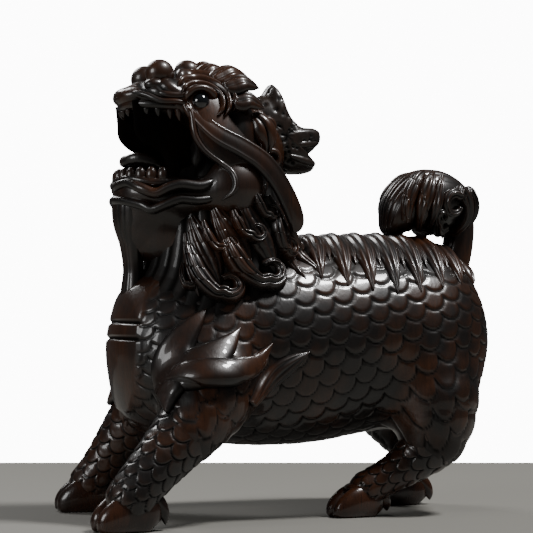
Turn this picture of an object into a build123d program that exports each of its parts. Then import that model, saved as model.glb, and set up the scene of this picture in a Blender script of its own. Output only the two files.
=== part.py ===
"""A roaring shisa lion, a small lacquered wood carving, as separately named carved pieces.

The beast faces -X, its left flank is towards -Y, and it stands on its four hooves on the plane Z = 0.
Places are shares of the statue's length, breadth and height, and girths are shares of each piece's
own named sizes. Neighbouring pieces meet face to face, and the main ones are also held by a round
tenon in a socket.
"""
import math
import os

from build123d import *

os.makedirs("parts", exist_ok=True)

# Places on the whole statue are shares of these
LENGTH = 60.0
BREADTH = 30.0
HEIGHT = 60.0
# moves the middle of the statue's box onto the origin
CENTRING_SHARE = -0.0045
CENTRING_ACROSS_SHARE = -0.006

# Trunk
TORSO_WIDTH = 24.6
TORSO_DEPTH = 27.2
NECK_WIDTH = 18.6
NECK_DEPTH = 21.0

# Head
HEAD_WIDTH = 17.2
HEAD_DEPTH = 15.6
JAW_WIDTH = 17.6
JAW_DEPTH = 9.0
MOUTH_WIDTH = 16.4
MOUTH_GAPE = 8.2
NOSTRIL_DIAMETER = 4.0
KNOB_DIAMETER = 3.9
CHEEK_DIAMETER = 6.2
EYE_DIAMETER = 2.4
TOOTH_DIAMETER = 1.1
TOOTH_LENGTH = 2.4
TOOTH_TIP_DIAMETER = 0.3
TEETH = 9
TOOTH_ARC_LENGTH = 6.0
TOOTH_ARC_HALF_WIDTH = 4.7
TONGUE_WIDTH = 7.0
TONGUE_THICKNESS = 2.2

# Ornaments of the head
BROW_THICKNESS = 2.4
TUFT_WIDTH = 3.2
TUFT_THICKNESS = 1.7
HORN_WIDTH = 6.4
HORN_DEPTH = 7.0
HORN_SPIKE_WIDTH = 3.4
EAR_WIDTH = 4.4
EAR_THICKNESS = 2.4
WHISKER_WIDTH = 2.7
WHISKER_THICKNESS = 1.7
BEARD_WIDTH = 7.4
BEARD_THICKNESS = 4.6

# Mane, crest and shoulder flames
CURL_DIAMETER = 4.4
MANE_RELIEF = 1.5
CREST_THICKNESS = 0.9
CREST_BAND_WIDTH = 3.2
FLAME_RELIEF = 1.3
RELIEF_REACH = 9.0

# Legs
FORELEG_THICKNESS = 12.0
HINDLEG_THICKNESS = 14.6
FORE_HOOF_LENGTH = 8.2
FORE_HOOF_WIDTH = 5.6
FORE_HOOF_HEIGHT = 4.9
HIND_HOOF_LENGTH = 7.4
HIND_HOOF_WIDTH = 5.0
HIND_HOOF_HEIGHT = 4.1
CLEFT_WIDTH = 0.5

# Tail
TAIL_THICKNESS = 4.6
TUFT_DEPTH = 9.4
TUFT_BREADTH = 9.6

# Joints between the blocks
TENON_DIAMETER = 4.0
TENON_DEPTH = 4.0
SMALL_TENON_DIAMETER = 2.0
SMALL_TENON_DEPTH = 2.5
TENON_CLEARANCE = 0.05
TENON_END_CLEARANCE = 0.2

ACROSS = Vector(0, 1, 0)
UPRIGHT = Vector(0, 0, 1)
LEFT, RIGHT = -1, 1


def spot(x_share, y_share, z_share):
    """A point of the statue, from its shares of the length, breadth and height."""
    x_place = (x_share + CENTRING_SHARE) * LENGTH
    y_place = (y_share + CENTRING_ACROSS_SHARE) * BREADTH
    return Vector(x_place, y_place, z_share * HEIGHT)


def square_planes(points, across=ACROSS):
    """Planes square to a path, one at each of its points, with their x axis kept near to across."""
    planes = []
    for index, point in enumerate(points):
        before = points[max(index - 1, 0)]
        after = points[min(index + 1, len(points) - 1)]
        ahead = (after - before).normalized()
        x_axis = across - ahead * across.dot(ahead)
        planes.append(Plane(origin=point, x_dir=x_axis, z_dir=ahead))
    return planes


def tapered(points, girth_shares, width, depth, across=ACROSS):
    """A solid lofted through ellipses square to a path; width lies along across."""
    with BuildPart() as form:
        for plane, (wide_share, deep_share) in zip(square_planes(points, across), girth_shares):
            with BuildSketch(plane):
                Ellipse(wide_share * width / 2, deep_share * depth / 2)
        loft()
    return form.part


def upright_slices(section_shares, width, depth):
    """A solid lofted along X through upright ellipses: shares of x, z, width and depth."""
    with BuildPart() as form:
        for x_share, z_share, wide_share, deep_share in section_shares:
            plane = Plane(origin=spot(x_share, 0, z_share), x_dir=ACROSS, z_dir=Vector(1, 0, 0))
            with BuildSketch(plane):
                Ellipse(wide_share * width / 2, deep_share * depth / 2)
        loft()
    return form.part


def path_of(path_shares, side=RIGHT):
    """Points of a path; side swaps the sign of every y share."""
    return [spot(x_share, side * y_share, z_share) for x_share, y_share, z_share in path_shares]


def tenon_plane(place_shares, ahead):
    """Plane at the mouth of a joint, facing the way its tenon points."""
    return Plane(origin=spot(*place_shares), z_dir=Vector(*ahead))


def tenon(plane, diameter=TENON_DIAMETER, depth=TENON_DEPTH):
    """A round tenon standing on its plane, with half as much below it to root it in its piece."""
    with BuildPart() as peg:
        with BuildSketch(plane.offset(-depth / 2)):
            Circle(diameter / 2)
        extrude(amount=depth / 2 + depth)
    return peg.part


def socket(plane, diameter=TENON_DIAMETER, depth=TENON_DEPTH):
    """The socket of that tenon, wider and deeper by the clearances."""
    with BuildPart() as hole:
        with BuildSketch(plane.offset(-depth)):
            Circle(diameter / 2 + TENON_CLEARANCE)
        extrude(amount=depth + depth + TENON_END_CLEARANCE)
    return hole.part


# Forms that several pieces share

# Shares of x, z, width and depth along the trunk, from the keel of the chest to the rump
TORSO_SHARES = [
    (-0.405, 0.365, 0.16, 0.18),
    (-0.392, 0.365, 0.37, 0.42),
    (-0.367, 0.363, 0.60, 0.63),
    (-0.317, 0.362, 0.78, 0.78),
    (-0.200, 0.377, 0.93, 0.925),
    (-0.067, 0.383, 0.99, 1.00),
    (0.067, 0.387, 1.00, 1.00),
    (0.200, 0.400, 0.985, 0.965),
    (0.333, 0.405, 0.96, 0.925),
    (0.433, 0.400, 0.80, 0.76),
    (0.482, 0.396, 0.56, 0.52),
    (0.503, 0.393, 0.34, 0.30),
    (0.511, 0.390, 0.16, 0.14),
]
torso_form = upright_slices(TORSO_SHARES, TORSO_WIDTH, TORSO_DEPTH)

# Shares of x, z, width and depth along the head, from the lip's tip to the nape
HEAD_SHARES = [
    (-0.406, 0.924, 0.10, 0.07),
    (-0.392, 0.924, 0.30, 0.15),
    (-0.342, 0.922, 0.57, 0.28),
    (-0.283, 0.912, 0.78, 0.43),
    (-0.242, 0.887, 0.89, 0.65),
    (-0.200, 0.862, 0.96, 0.87),
    (-0.140, 0.845, 1.00, 0.98),
    (-0.075, 0.840, 0.90, 0.86),
    (-0.030, 0.838, 0.72, 0.64),
    (0.000, 0.836, 0.46, 0.38),
]
skull_form = upright_slices(HEAD_SHARES, HEAD_WIDTH, HEAD_DEPTH)

# The space of the open mouth, from in front of the lips to the throat
MOUTH_SHARES = [
    (-0.430, 0.820, 1.00, 1.00),
    (-0.340, 0.820, 1.00, 0.96),
    (-0.285, 0.818, 0.94, 0.90),
    (-0.240, 0.812, 0.74, 0.76),
    (-0.195, 0.803, 0.42, 0.46),
]
mouth_form = upright_slices(MOUTH_SHARES, MOUTH_WIDTH, MOUTH_GAPE)

# Shares of x, y and z, then girths, of the neck from its foot in the trunk to its top in the skull
NECK_PATH_SHARES = [
    (-0.175, 0, 0.40),
    (-0.150, 0, 0.51),
    (-0.142, 0, 0.62),
    (-0.146, 0, 0.71),
    (-0.142, 0, 0.77),
]
NECK_GIRTH_SHARES = [(1.06, 1.12), (1.00, 1.06), (0.95, 0.97), (0.90, 0.87), (0.82, 0.72)]
neck_form = tapered(path_of(NECK_PATH_SHARES), NECK_GIRTH_SHARES, NECK_WIDTH, NECK_DEPTH)

JAW_SHARES = [
    (-0.406, 0.716, 0.14, 0.24),
    (-0.390, 0.711, 0.38, 0.46),
    (-0.350, 0.704, 0.60, 0.64),
    (-0.300, 0.700, 0.75, 0.74),
    (-0.233, 0.704, 0.93, 0.86),
    (-0.167, 0.718, 1.00, 1.00),
    (-0.110, 0.730, 0.92, 0.84),
    (-0.075, 0.735, 0.70, 0.52),
]
jaw_form = upright_slices(JAW_SHARES, JAW_WIDTH, JAW_DEPTH)

FORELEG_GIRTH_SHARES = [(1.00, 1.00), (0.88, 0.90), (0.70, 0.70), (0.57, 0.57), (0.51, 0.52), (0.52, 0.54)]
HINDLEG_GIRTH_SHARES = [
    (0.84, 1.00),
    (0.74, 0.88),
    (0.58, 0.66),
    (0.43, 0.46),
    (0.34, 0.36),
    (0.31, 0.33),
    (0.33, 0.34),
]

# Joints: the mouth of each socket and the way its tenon points
NECK_JOINT_SHARES = ((-0.158, 0, 0.585), (0, 0, -1))
HEAD_JOINT_SHARES = ((-0.145, 0, 0.740), (0, 0, -1))
TAIL_JOINT_SHARES = ((0.437, 0, 0.535), (-0.35, 0, -1))
HORN_JOINT_SHARES = ((0, 0, 0.850), (-1, 0, 0))
FORELEG_LEFT_JOINT_SHARES = ((-0.215, -0.345, 0.310), (0.25, 1, 0.45))
FORELEG_RIGHT_JOINT_SHARES = ((-0.215, 0.345, 0.310), (0.25, -1, 0.45))
HINDLEG_LEFT_JOINT_SHARES = ((0.305, -0.335, 0.300), (0, 1, 0.6))
HINDLEG_RIGHT_JOINT_SHARES = ((0.330, 0.335, 0.300), (0, -1, 0.6))
NECK_TENON = tenon_plane(*NECK_JOINT_SHARES)
HEAD_TENON = tenon_plane(*HEAD_JOINT_SHARES)
TAIL_TENON = tenon_plane(*TAIL_JOINT_SHARES)
HORN_TENON = tenon_plane(*HORN_JOINT_SHARES)
FORELEG_LEFT_TENON = tenon_plane(*FORELEG_LEFT_JOINT_SHARES)
FORELEG_RIGHT_TENON = tenon_plane(*FORELEG_RIGHT_JOINT_SHARES)
HINDLEG_LEFT_TENON = tenon_plane(*HINDLEG_LEFT_JOINT_SHARES)
HINDLEG_RIGHT_TENON = tenon_plane(*HINDLEG_RIGHT_JOINT_SHARES)
BODY_TENONS = [
    NECK_TENON,
    TAIL_TENON,
    FORELEG_LEFT_TENON,
    FORELEG_RIGHT_TENON,
    HINDLEG_LEFT_TENON,
    HINDLEG_RIGHT_TENON,
]


# Torso

torso_sockets = [socket(plane) for plane in BODY_TENONS]
with BuildPart() as torso:
    add(torso_form)
    for hole in torso_sockets:
        add(hole, mode=Mode.SUBTRACT)
torso.part.label = "torso"
export_step(torso.part, "parts/torso.step")


# Eyes, round beads half sunk in the skull

EYE_PLACE_SHARES = (-0.240, 0.232, 0.906)
eye_places = {side: path_of([EYE_PLACE_SHARES], side)[0] for side in (LEFT, RIGHT)}

with BuildPart() as eye_left:
    with Locations(eye_places[LEFT]):
        Sphere(EYE_DIAMETER / 2)
eye_left.part.label = "eye_left"
export_step(eye_left.part, "parts/eye_left.step")

with BuildPart() as eye_right:
    with Locations(eye_places[RIGHT]):
        Sphere(EYE_DIAMETER / 2)
eye_right.part.label = "eye_right"
export_step(eye_right.part, "parts/eye_right.step")


# Head: skull and upper jaw in one, with the nostril bulbs, the forehead knob and the upper teeth

NOSTRIL_SHARES = [(-0.340, -0.100, 0.964), (-0.340, 0.100, 0.964)]
KNOB_PLACE_SHARES = (-0.232, 0, 0.984)
TOOTH_ARC_CENTRE_SHARES = (-0.283, 0, 0)
TOOTH_ARC_SPREAD = 78
UPPER_TOOTH_SHARE = 0.884
LOWER_TOOTH_SHARE = 0.752


def tooth_places(height_share, drop=0):
    """Points of a tooth row on a half ellipse, spread evenly to either side of the lip's tip."""
    centre_x, centre_y, _ = spot(*TOOTH_ARC_CENTRE_SHARES)
    places = []
    for index in range(TEETH):
        turn = math.radians(TOOTH_ARC_SPREAD) * (2 * index / (TEETH - 1) - 1)
        x_place = centre_x - TOOTH_ARC_LENGTH * math.cos(turn)
        y_place = centre_y + TOOTH_ARC_HALF_WIDTH * math.sin(turn)
        places.append((x_place, y_place, height_share * HEIGHT + drop))
    return places


head_tenon = tenon(HEAD_TENON)
horn_socket = socket(HORN_TENON, SMALL_TENON_DIAMETER, SMALL_TENON_DEPTH)
with BuildPart() as head:
    add(skull_form)
    add(mouth_form, mode=Mode.SUBTRACT)
    with Locations(path_of(NOSTRIL_SHARES)):
        Sphere(NOSTRIL_DIAMETER / 2)
    with Locations(spot(*KNOB_PLACE_SHARES)):
        Sphere(KNOB_DIAMETER / 2)
    with Locations(tooth_places(UPPER_TOOTH_SHARE)):
        Cone(TOOTH_TIP_DIAMETER / 2, TOOTH_DIAMETER / 2, TOOTH_LENGTH)
    add(eye_left.part, mode=Mode.SUBTRACT)
    add(eye_right.part, mode=Mode.SUBTRACT)
    add(horn_socket, mode=Mode.SUBTRACT)
    add(head_tenon)
head.part.label = "head"
export_step(head.part, "parts/head.step")


# Neck

neck_tenon = tenon(NECK_TENON)
head_socket = socket(HEAD_TENON)
with BuildPart() as neck:
    add(neck_form)
    add(torso_form, mode=Mode.SUBTRACT)
    add(skull_form, mode=Mode.SUBTRACT)
    add(mouth_form, mode=Mode.SUBTRACT)
    add(head_socket, mode=Mode.SUBTRACT)
    add(neck_tenon)
neck.part.label = "neck"
export_step(neck.part, "parts/neck.step")


# Lower jaw with its lip, cheek domes and teeth

CHEEK_SHARES = [(-0.165, -0.235, 0.722), (-0.165, 0.235, 0.722)]
with BuildPart() as lower_jaw:
    add(jaw_form)
    with Locations(path_of(CHEEK_SHARES)):
        Sphere(CHEEK_DIAMETER / 2)
    add(mouth_form, mode=Mode.SUBTRACT)
    with Locations(tooth_places(LOWER_TOOTH_SHARE)):
        Cone(TOOTH_DIAMETER / 2, TOOTH_TIP_DIAMETER / 2, TOOTH_LENGTH)
    add(skull_form, mode=Mode.SUBTRACT)
    add(neck_form, mode=Mode.SUBTRACT)
lower_jaw.part.label = "lower_jaw"
export_step(lower_jaw.part, "parts/lower_jaw.step")


# Tongue

TONGUE_PATH_SHARES = [
    (-0.190, 0, 0.765),
    (-0.240, 0, 0.760),
    (-0.300, 0, 0.768),
    (-0.345, 0, 0.776),
    (-0.365, 0, 0.786),
]
TONGUE_GIRTH_SHARES = [(0.60, 0.70), (0.90, 1.00), (1.00, 1.00), (0.72, 0.80), (0.30, 0.35)]
tongue_form = tapered(path_of(TONGUE_PATH_SHARES), TONGUE_GIRTH_SHARES, TONGUE_WIDTH, TONGUE_THICKNESS)
with BuildPart() as tongue:
    add(tongue_form)
    add(lower_jaw.part, mode=Mode.SUBTRACT)
    add(neck.part, mode=Mode.SUBTRACT)
    add(head.part, mode=Mode.SUBTRACT)
tongue.part.label = "tongue"
export_step(tongue.part, "parts/tongue.step")


# Brows: a ridge over each eye with four flame-tipped tufts swept back from it

BROW_PATH_SHARES = [
    (-0.272, 0.170, 0.922),
    (-0.250, 0.215, 0.946),
    (-0.212, 0.248, 0.950),
    (-0.180, 0.268, 0.922),
    (-0.170, 0.276, 0.882),
    (-0.180, 0.276, 0.846),
]
BROW_GIRTH_SHARES = [(0.5, 0.6), (0.8, 0.9), (1.0, 1.0), (1.0, 1.0), (0.8, 0.8), (0.4, 0.4)]
TUFT_ROOT_SHARES = [
    (-0.222, 0.130, 0.955),
    (-0.203, 0.185, 0.952),
    (-0.186, 0.235, 0.935),
    (-0.176, 0.262, 0.905),
]
TUFT_TIP_SHARES = [
    (-0.150, 0.070, 0.996),
    (-0.112, 0.140, 0.974),
    (-0.104, 0.215, 0.940),
    (-0.100, 0.262, 0.893),
]
TUFT_BEND_SHARE = 0.012
TUFT_GIRTH_SHARES = [(0.8, 0.9), (1.0, 1.0), (0.2, 0.3)]


def brow_forms(side):
    """The ridge of one brow and its tufts, each bent upwards a little at its middle."""
    forms = [tapered(path_of(BROW_PATH_SHARES, side), BROW_GIRTH_SHARES, BROW_THICKNESS, BROW_THICKNESS)]
    for root, tip in zip(path_of(TUFT_ROOT_SHARES, side), path_of(TUFT_TIP_SHARES, side)):
        middle = (root + tip) / 2 + UPRIGHT * TUFT_BEND_SHARE * HEIGHT
        forms.append(tapered([root, middle, tip], TUFT_GIRTH_SHARES, TUFT_WIDTH, TUFT_THICKNESS))
    return forms


brow_left_forms = brow_forms(LEFT)
with BuildPart() as brow_left:
    for form in brow_left_forms:
        add(form)
    add(head.part, mode=Mode.SUBTRACT)
    add(eye_left.part, mode=Mode.SUBTRACT)
brow_left.part.label = "brow_left"
export_step(brow_left.part, "parts/brow_left.step")

brow_right_forms = brow_forms(RIGHT)
with BuildPart() as brow_right:
    for form in brow_right_forms:
        add(form)
    add(head.part, mode=Mode.SUBTRACT)
    add(eye_right.part, mode=Mode.SUBTRACT)
brow_right.part.label = "brow_right"
export_step(brow_right.part, "parts/brow_right.step")


# Horn: a trunk behind the skull, a spike on top and a forked, mouth-like rear end

HORN_TRUNK_SHARES = [
    (-0.085, 0, 0.875),
    (-0.045, 0, 0.876),
    (-0.005, 0, 0.850),
    (0.030, 0, 0.826),
    (0.050, 0, 0.820),
]
HORN_TRUNK_GIRTH_SHARES = [(0.90, 0.90), (1.00, 1.00), (0.92, 0.92), (0.80, 0.80), (0.66, 0.70)]
HORN_SPIKE_SHARES = [(-0.040, 0, 0.880), (-0.038, 0, 0.930), (-0.040, 0, 0.962)]
HORN_SPIKE_GIRTH_SHARES = [(1.35, 1.40), (0.85, 0.85), (0.18, 0.18)]
HORN_UPPER_FORK_SHARES = [(0.035, 0, 0.835), (0.066, 0, 0.842), (0.082, 0, 0.850)]
HORN_LOWER_FORK_SHARES = [(0.030, 0, 0.815), (0.055, 0, 0.785), (0.068, 0, 0.775)]
HORN_FORK_GIRTH_SHARES = [(1.25, 1.00), (1.00, 0.70), (0.50, 0.30)]
horn_forms = [
    tapered(path_of(HORN_TRUNK_SHARES), HORN_TRUNK_GIRTH_SHARES, HORN_WIDTH, HORN_DEPTH),
    tapered(path_of(HORN_SPIKE_SHARES), HORN_SPIKE_GIRTH_SHARES, HORN_SPIKE_WIDTH, HORN_SPIKE_WIDTH),
    tapered(path_of(HORN_UPPER_FORK_SHARES), HORN_FORK_GIRTH_SHARES, HORN_SPIKE_WIDTH, HORN_SPIKE_WIDTH),
    tapered(path_of(HORN_LOWER_FORK_SHARES), HORN_FORK_GIRTH_SHARES, HORN_SPIKE_WIDTH, HORN_SPIKE_WIDTH),
]
horn_tenon = tenon(HORN_TENON, SMALL_TENON_DIAMETER, SMALL_TENON_DEPTH)
with BuildPart() as horn:
    for form in horn_forms:
        add(form)
    add(skull_form, mode=Mode.SUBTRACT)
    add(neck_form, mode=Mode.SUBTRACT)
    for brow in (brow_left.part, brow_right.part):
        add(brow, mode=Mode.SUBTRACT)
    add(horn_tenon)
horn.part.label = "horn"
export_step(horn.part, "parts/horn.step")


# Ears: a small leaf at each side of the horn's root

EAR_PATH_SHARES = [
    (-0.120, 0.235, 0.880),
    (-0.092, 0.262, 0.858),
    (-0.070, 0.262, 0.825),
    (-0.052, 0.235, 0.786),
]
EAR_GIRTH_SHARES = [(0.5, 0.5), (1.0, 1.0), (1.0, 0.9), (0.3, 0.4)]
ear_forms = {
    side: tapered(path_of(EAR_PATH_SHARES, side), EAR_GIRTH_SHARES, EAR_THICKNESS, EAR_WIDTH)
    for side in (LEFT, RIGHT)
}

with BuildPart() as ear_left:
    add(ear_forms[LEFT])
    for neighbour in (head.part, neck.part, horn.part, brow_left.part, lower_jaw.part):
        add(neighbour, mode=Mode.SUBTRACT)
ear_left.part.label = "ear_left"
export_step(ear_left.part, "parts/ear_left.step")

with BuildPart() as ear_right:
    add(ear_forms[RIGHT])
    for neighbour in (head.part, neck.part, horn.part, brow_right.part, lower_jaw.part):
        add(neighbour, mode=Mode.SUBTRACT)
ear_right.part.label = "ear_right"
export_step(ear_right.part, "parts/ear_right.step")


# Whiskers: a raised ribbon from beside the nose, under the eye, to a free end at the nape

WHISKER_PATH_SHARES = [
    (-0.280, 0.215, 0.918),
    (-0.258, 0.245, 0.882),
    (-0.215, 0.285, 0.838),
    (-0.160, 0.310, 0.808),
    (-0.112, 0.318, 0.778),
    (-0.075, 0.316, 0.738),
    (-0.046, 0.312, 0.690),
    (-0.030, 0.306, 0.650),
    (-0.031, 0.300, 0.624),
]
WHISKER_GIRTH_SHARES = [
    (0.6, 0.40),
    (0.9, 0.70),
    (1.0, 0.95),
    (1.0, 1.00),
    (1.0, 1.00),
    (1.0, 1.00),
    (1.0, 0.98),
    (0.9, 0.80),
    (0.6, 0.40),
]


def whisker_form(side):
    """One whisker's ribbon, thin across the statue and wide along the cheek."""
    path = path_of(WHISKER_PATH_SHARES, side)
    return tapered(path, WHISKER_GIRTH_SHARES, WHISKER_THICKNESS, WHISKER_WIDTH)


whisker_left_form = whisker_form(LEFT)
with BuildPart() as whisker_left:
    add(whisker_left_form)
    for neighbour in (head.part, lower_jaw.part, neck.part, ear_left.part, brow_left.part, eye_left.part):
        add(neighbour, mode=Mode.SUBTRACT)
whisker_left.part.label = "whisker_left"
export_step(whisker_left.part, "parts/whisker_left.step")

whisker_right_form = whisker_form(RIGHT)
with BuildPart() as whisker_right:
    add(whisker_right_form)
    for neighbour in (head.part, lower_jaw.part, neck.part, ear_right.part, brow_right.part, eye_right.part):
        add(neighbour, mode=Mode.SUBTRACT)
whisker_right.part.label = "whisker_right"
export_step(whisker_right.part, "parts/whisker_right.step")


# Beard: a column from the chin down to the chest, clear of the throat behind it

BEARD_PATH_SHARES = [
    (-0.362, 0, 0.705),
    (-0.364, 0, 0.650),
    (-0.358, 0, 0.600),
    (-0.354, 0, 0.545),
    (-0.356, 0, 0.490),
    (-0.350, 0, 0.440),
]
BEARD_GIRTH_SHARES = [(1.00, 1.05), (0.82, 0.84), (0.56, 0.60), (0.46, 0.52), (0.60, 0.62), (0.70, 0.80)]
beard_form = tapered(path_of(BEARD_PATH_SHARES), BEARD_GIRTH_SHARES, BEARD_WIDTH, BEARD_THICKNESS)
with BuildPart() as beard:
    add(beard_form)
    add(lower_jaw.part, mode=Mode.SUBTRACT)
    add(mouth_form, mode=Mode.SUBTRACT)
    add(torso_form, mode=Mode.SUBTRACT)
    add(neck.part, mode=Mode.SUBTRACT)
beard.part.label = "beard"
export_step(beard.part, "parts/beard.step")


# Legs: each runs from inside the trunk to its fetlock, where the hoof takes over

FORELEG_LEFT_SHARES = [
    (-0.190, -0.160, 0.350),
    (-0.233, -0.335, 0.275),
    (-0.300, -0.402, 0.203),
    (-0.365, -0.440, 0.140),
    (-0.410, -0.452, 0.093),
    (-0.428, -0.452, 0.066),
]
FORELEG_RIGHT_SHARES = [
    (-0.190, 0.160, 0.342),
    (-0.233, 0.320, 0.267),
    (-0.288, 0.388, 0.193),
    (-0.332, 0.434, 0.127),
    (-0.362, 0.460, 0.083),
    (-0.376, 0.466, 0.062),
]
HINDLEG_LEFT_SHARES = [
    (0.305, -0.150, 0.370),
    (0.315, -0.270, 0.255),
    (0.307, -0.285, 0.180),
    (0.272, -0.276, 0.133),
    (0.224, -0.260, 0.100),
    (0.182, -0.242, 0.075),
    (0.157, -0.232, 0.060),
]
HINDLEG_RIGHT_SHARES = [
    (0.325, 0.150, 0.367),
    (0.350, 0.268, 0.250),
    (0.377, 0.278, 0.190),
    (0.392, 0.265, 0.138),
    (0.387, 0.245, 0.100),
    (0.372, 0.230, 0.074),
    (0.362, 0.226, 0.058),
]


def leg_form(leg_shares, girth_shares, thickness):
    """A leg lofted along its path."""
    return tapered(path_of(leg_shares), girth_shares, thickness, thickness)


foreleg_left_form = leg_form(FORELEG_LEFT_SHARES, FORELEG_GIRTH_SHARES, FORELEG_THICKNESS)
foreleg_right_form = leg_form(FORELEG_RIGHT_SHARES, FORELEG_GIRTH_SHARES, FORELEG_THICKNESS)
hindleg_left_form = leg_form(HINDLEG_LEFT_SHARES, HINDLEG_GIRTH_SHARES, HINDLEG_THICKNESS)
hindleg_right_form = leg_form(HINDLEG_RIGHT_SHARES, HINDLEG_GIRTH_SHARES, HINDLEG_THICKNESS)

# Hooves: a sole on the ground, an upright cloven body and a rounded crown at the fetlock
HOOF_LEVEL_SHARES = [0, 0.30, 0.65, 0.90, 1.00]
HOOF_LENGTH_SHARES = [0.94, 1.00, 0.92, 0.74, 0.58]
HOOF_WIDTH_SHARES = [0.94, 1.00, 0.94, 0.78, 0.62]
HOOF_REAR_SHIFT_SHARES = [0, 0.01, 0.045, 0.090, 0.110]
CLEFT_REACH_SHARE = 0.42


def hoof_form(middle, length, width, height, turn):
    """A cloven hoof with its sole on Z = 0 round the point under its middle."""
    ground = Plane(origin=middle, z_dir=UPRIGHT).rotated((0, 0, turn))
    with BuildPart() as form:
        for level, long_share, wide_share, shift in zip(
            HOOF_LEVEL_SHARES, HOOF_LENGTH_SHARES, HOOF_WIDTH_SHARES, HOOF_REAR_SHIFT_SHARES
        ):
            with BuildSketch(ground.offset(level * height)):
                with Locations((shift * length, 0)):
                    Ellipse(long_share * length / 2, wide_share * width / 2)
        loft()
        with BuildSketch(ground):
            with Locations((-length / 2, 0)):
                Rectangle(CLEFT_REACH_SHARE * length, CLEFT_WIDTH)
        extrude(amount=height / 2, mode=Mode.SUBTRACT)
    return form.part


HOOF_FORE_LEFT_SHARES = (-0.437, -0.450, 0)
HOOF_FORE_RIGHT_SHARES = (-0.388, 0.466, 0)
HOOF_HIND_LEFT_SHARES = (0.130, -0.226, 0)
HOOF_HIND_RIGHT_SHARES = (0.350, 0.226, 0)
TOE_OUT = 6.0
fore_hoof_sizes = (FORE_HOOF_LENGTH, FORE_HOOF_WIDTH, FORE_HOOF_HEIGHT)
hind_hoof_sizes = (HIND_HOOF_LENGTH, HIND_HOOF_WIDTH, HIND_HOOF_HEIGHT)

hoof_fore_left_form = hoof_form(spot(*HOOF_FORE_LEFT_SHARES), *fore_hoof_sizes, TOE_OUT)
with BuildPart() as hoof_fore_left:
    add(hoof_fore_left_form)
hoof_fore_left.part.label = "hoof_fore_left"
export_step(hoof_fore_left.part, "parts/hoof_fore_left.step")

hoof_fore_right_form = hoof_form(spot(*HOOF_FORE_RIGHT_SHARES), *fore_hoof_sizes, -TOE_OUT)
with BuildPart() as hoof_fore_right:
    add(hoof_fore_right_form)
hoof_fore_right.part.label = "hoof_fore_right"
export_step(hoof_fore_right.part, "parts/hoof_fore_right.step")

hoof_hind_left_form = hoof_form(spot(*HOOF_HIND_LEFT_SHARES), *hind_hoof_sizes, TOE_OUT)
with BuildPart() as hoof_hind_left:
    add(hoof_hind_left_form)
hoof_hind_left.part.label = "hoof_hind_left"
export_step(hoof_hind_left.part, "parts/hoof_hind_left.step")

hoof_hind_right_form = hoof_form(spot(*HOOF_HIND_RIGHT_SHARES), *hind_hoof_sizes, -TOE_OUT)
with BuildPart() as hoof_hind_right:
    add(hoof_hind_right_form)
hoof_hind_right.part.label = "hoof_hind_right"
export_step(hoof_hind_right.part, "parts/hoof_hind_right.step")

foreleg_left_tenon = tenon(FORELEG_LEFT_TENON)
with BuildPart() as foreleg_left:
    add(foreleg_left_form)
    add(torso_form, mode=Mode.SUBTRACT)
    add(hoof_fore_left.part, mode=Mode.SUBTRACT)
    add(foreleg_left_tenon)
foreleg_left.part.label = "foreleg_left"
export_step(foreleg_left.part, "parts/foreleg_left.step")

foreleg_right_tenon = tenon(FORELEG_RIGHT_TENON)
with BuildPart() as foreleg_right:
    add(foreleg_right_form)
    add(torso_form, mode=Mode.SUBTRACT)
    add(hoof_fore_right.part, mode=Mode.SUBTRACT)
    add(foreleg_right_tenon)
foreleg_right.part.label = "foreleg_right"
export_step(foreleg_right.part, "parts/foreleg_right.step")

hindleg_left_tenon = tenon(HINDLEG_LEFT_TENON)
with BuildPart() as hindleg_left:
    add(hindleg_left_form)
    add(torso_form, mode=Mode.SUBTRACT)
    add(hoof_hind_left.part, mode=Mode.SUBTRACT)
    add(hindleg_left_tenon)
hindleg_left.part.label = "hindleg_left"
export_step(hindleg_left.part, "parts/hindleg_left.step")

hindleg_right_tenon = tenon(HINDLEG_RIGHT_TENON)
with BuildPart() as hindleg_right:
    add(hindleg_right_form)
    add(torso_form, mode=Mode.SUBTRACT)
    add(hoof_hind_right.part, mode=Mode.SUBTRACT)
    add(hindleg_right_tenon)
hindleg_right.part.label = "hindleg_right"
export_step(hindleg_right.part, "parts/hindleg_right.step")


# Tail: a stout shank rising from the rump, bent forward into a tuft that rests on the back

TAIL_PATH_SHARES = [
    (0.425, 0, 0.500),
    (0.450, 0, 0.560),
    (0.468, 0, 0.620),
    (0.468, 0, 0.675),
    (0.440, 0, 0.712),
]
TAIL_GIRTH_SHARES = [(1.15, 1.20), (1.00, 1.00), (0.95, 0.92), (0.98, 0.95), (1.05, 1.00)]
tail_form = tapered(path_of(TAIL_PATH_SHARES), TAIL_GIRTH_SHARES, TAIL_THICKNESS, TAIL_THICKNESS)
tail_tenon = tenon(TAIL_TENON)

TUFT_BODY_SHARES = [
    (0.482, 0, 0.690),
    (0.455, 0, 0.706),
    (0.410, 0, 0.714),
    (0.360, 0, 0.712),
    (0.318, 0, 0.690),
    (0.294, 0, 0.656),
    (0.288, 0, 0.628),
]
TUFT_BODY_GIRTH_SHARES = [
    (0.36, 0.34),
    (0.76, 0.76),
    (1.00, 0.98),
    (1.00, 1.00),
    (0.86, 0.74),
    (0.62, 0.42),
    (0.36, 0.20),
]
tuft_form = tapered(path_of(TUFT_BODY_SHARES), TUFT_BODY_GIRTH_SHARES, TUFT_BREADTH, TUFT_DEPTH)

with BuildPart() as tail_tuft:
    add(tuft_form)
    add(torso_form, mode=Mode.SUBTRACT)
tail_tuft.part.label = "tail_tuft"
export_step(tail_tuft.part, "parts/tail_tuft.step")

with BuildPart() as tail:
    add(tail_form)
    add(torso_form, mode=Mode.SUBTRACT)
    add(tuft_form, mode=Mode.SUBTRACT)
    add(tail_tenon)
tail.part.label = "tail"
export_step(tail.part, "parts/tail.step")


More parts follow.
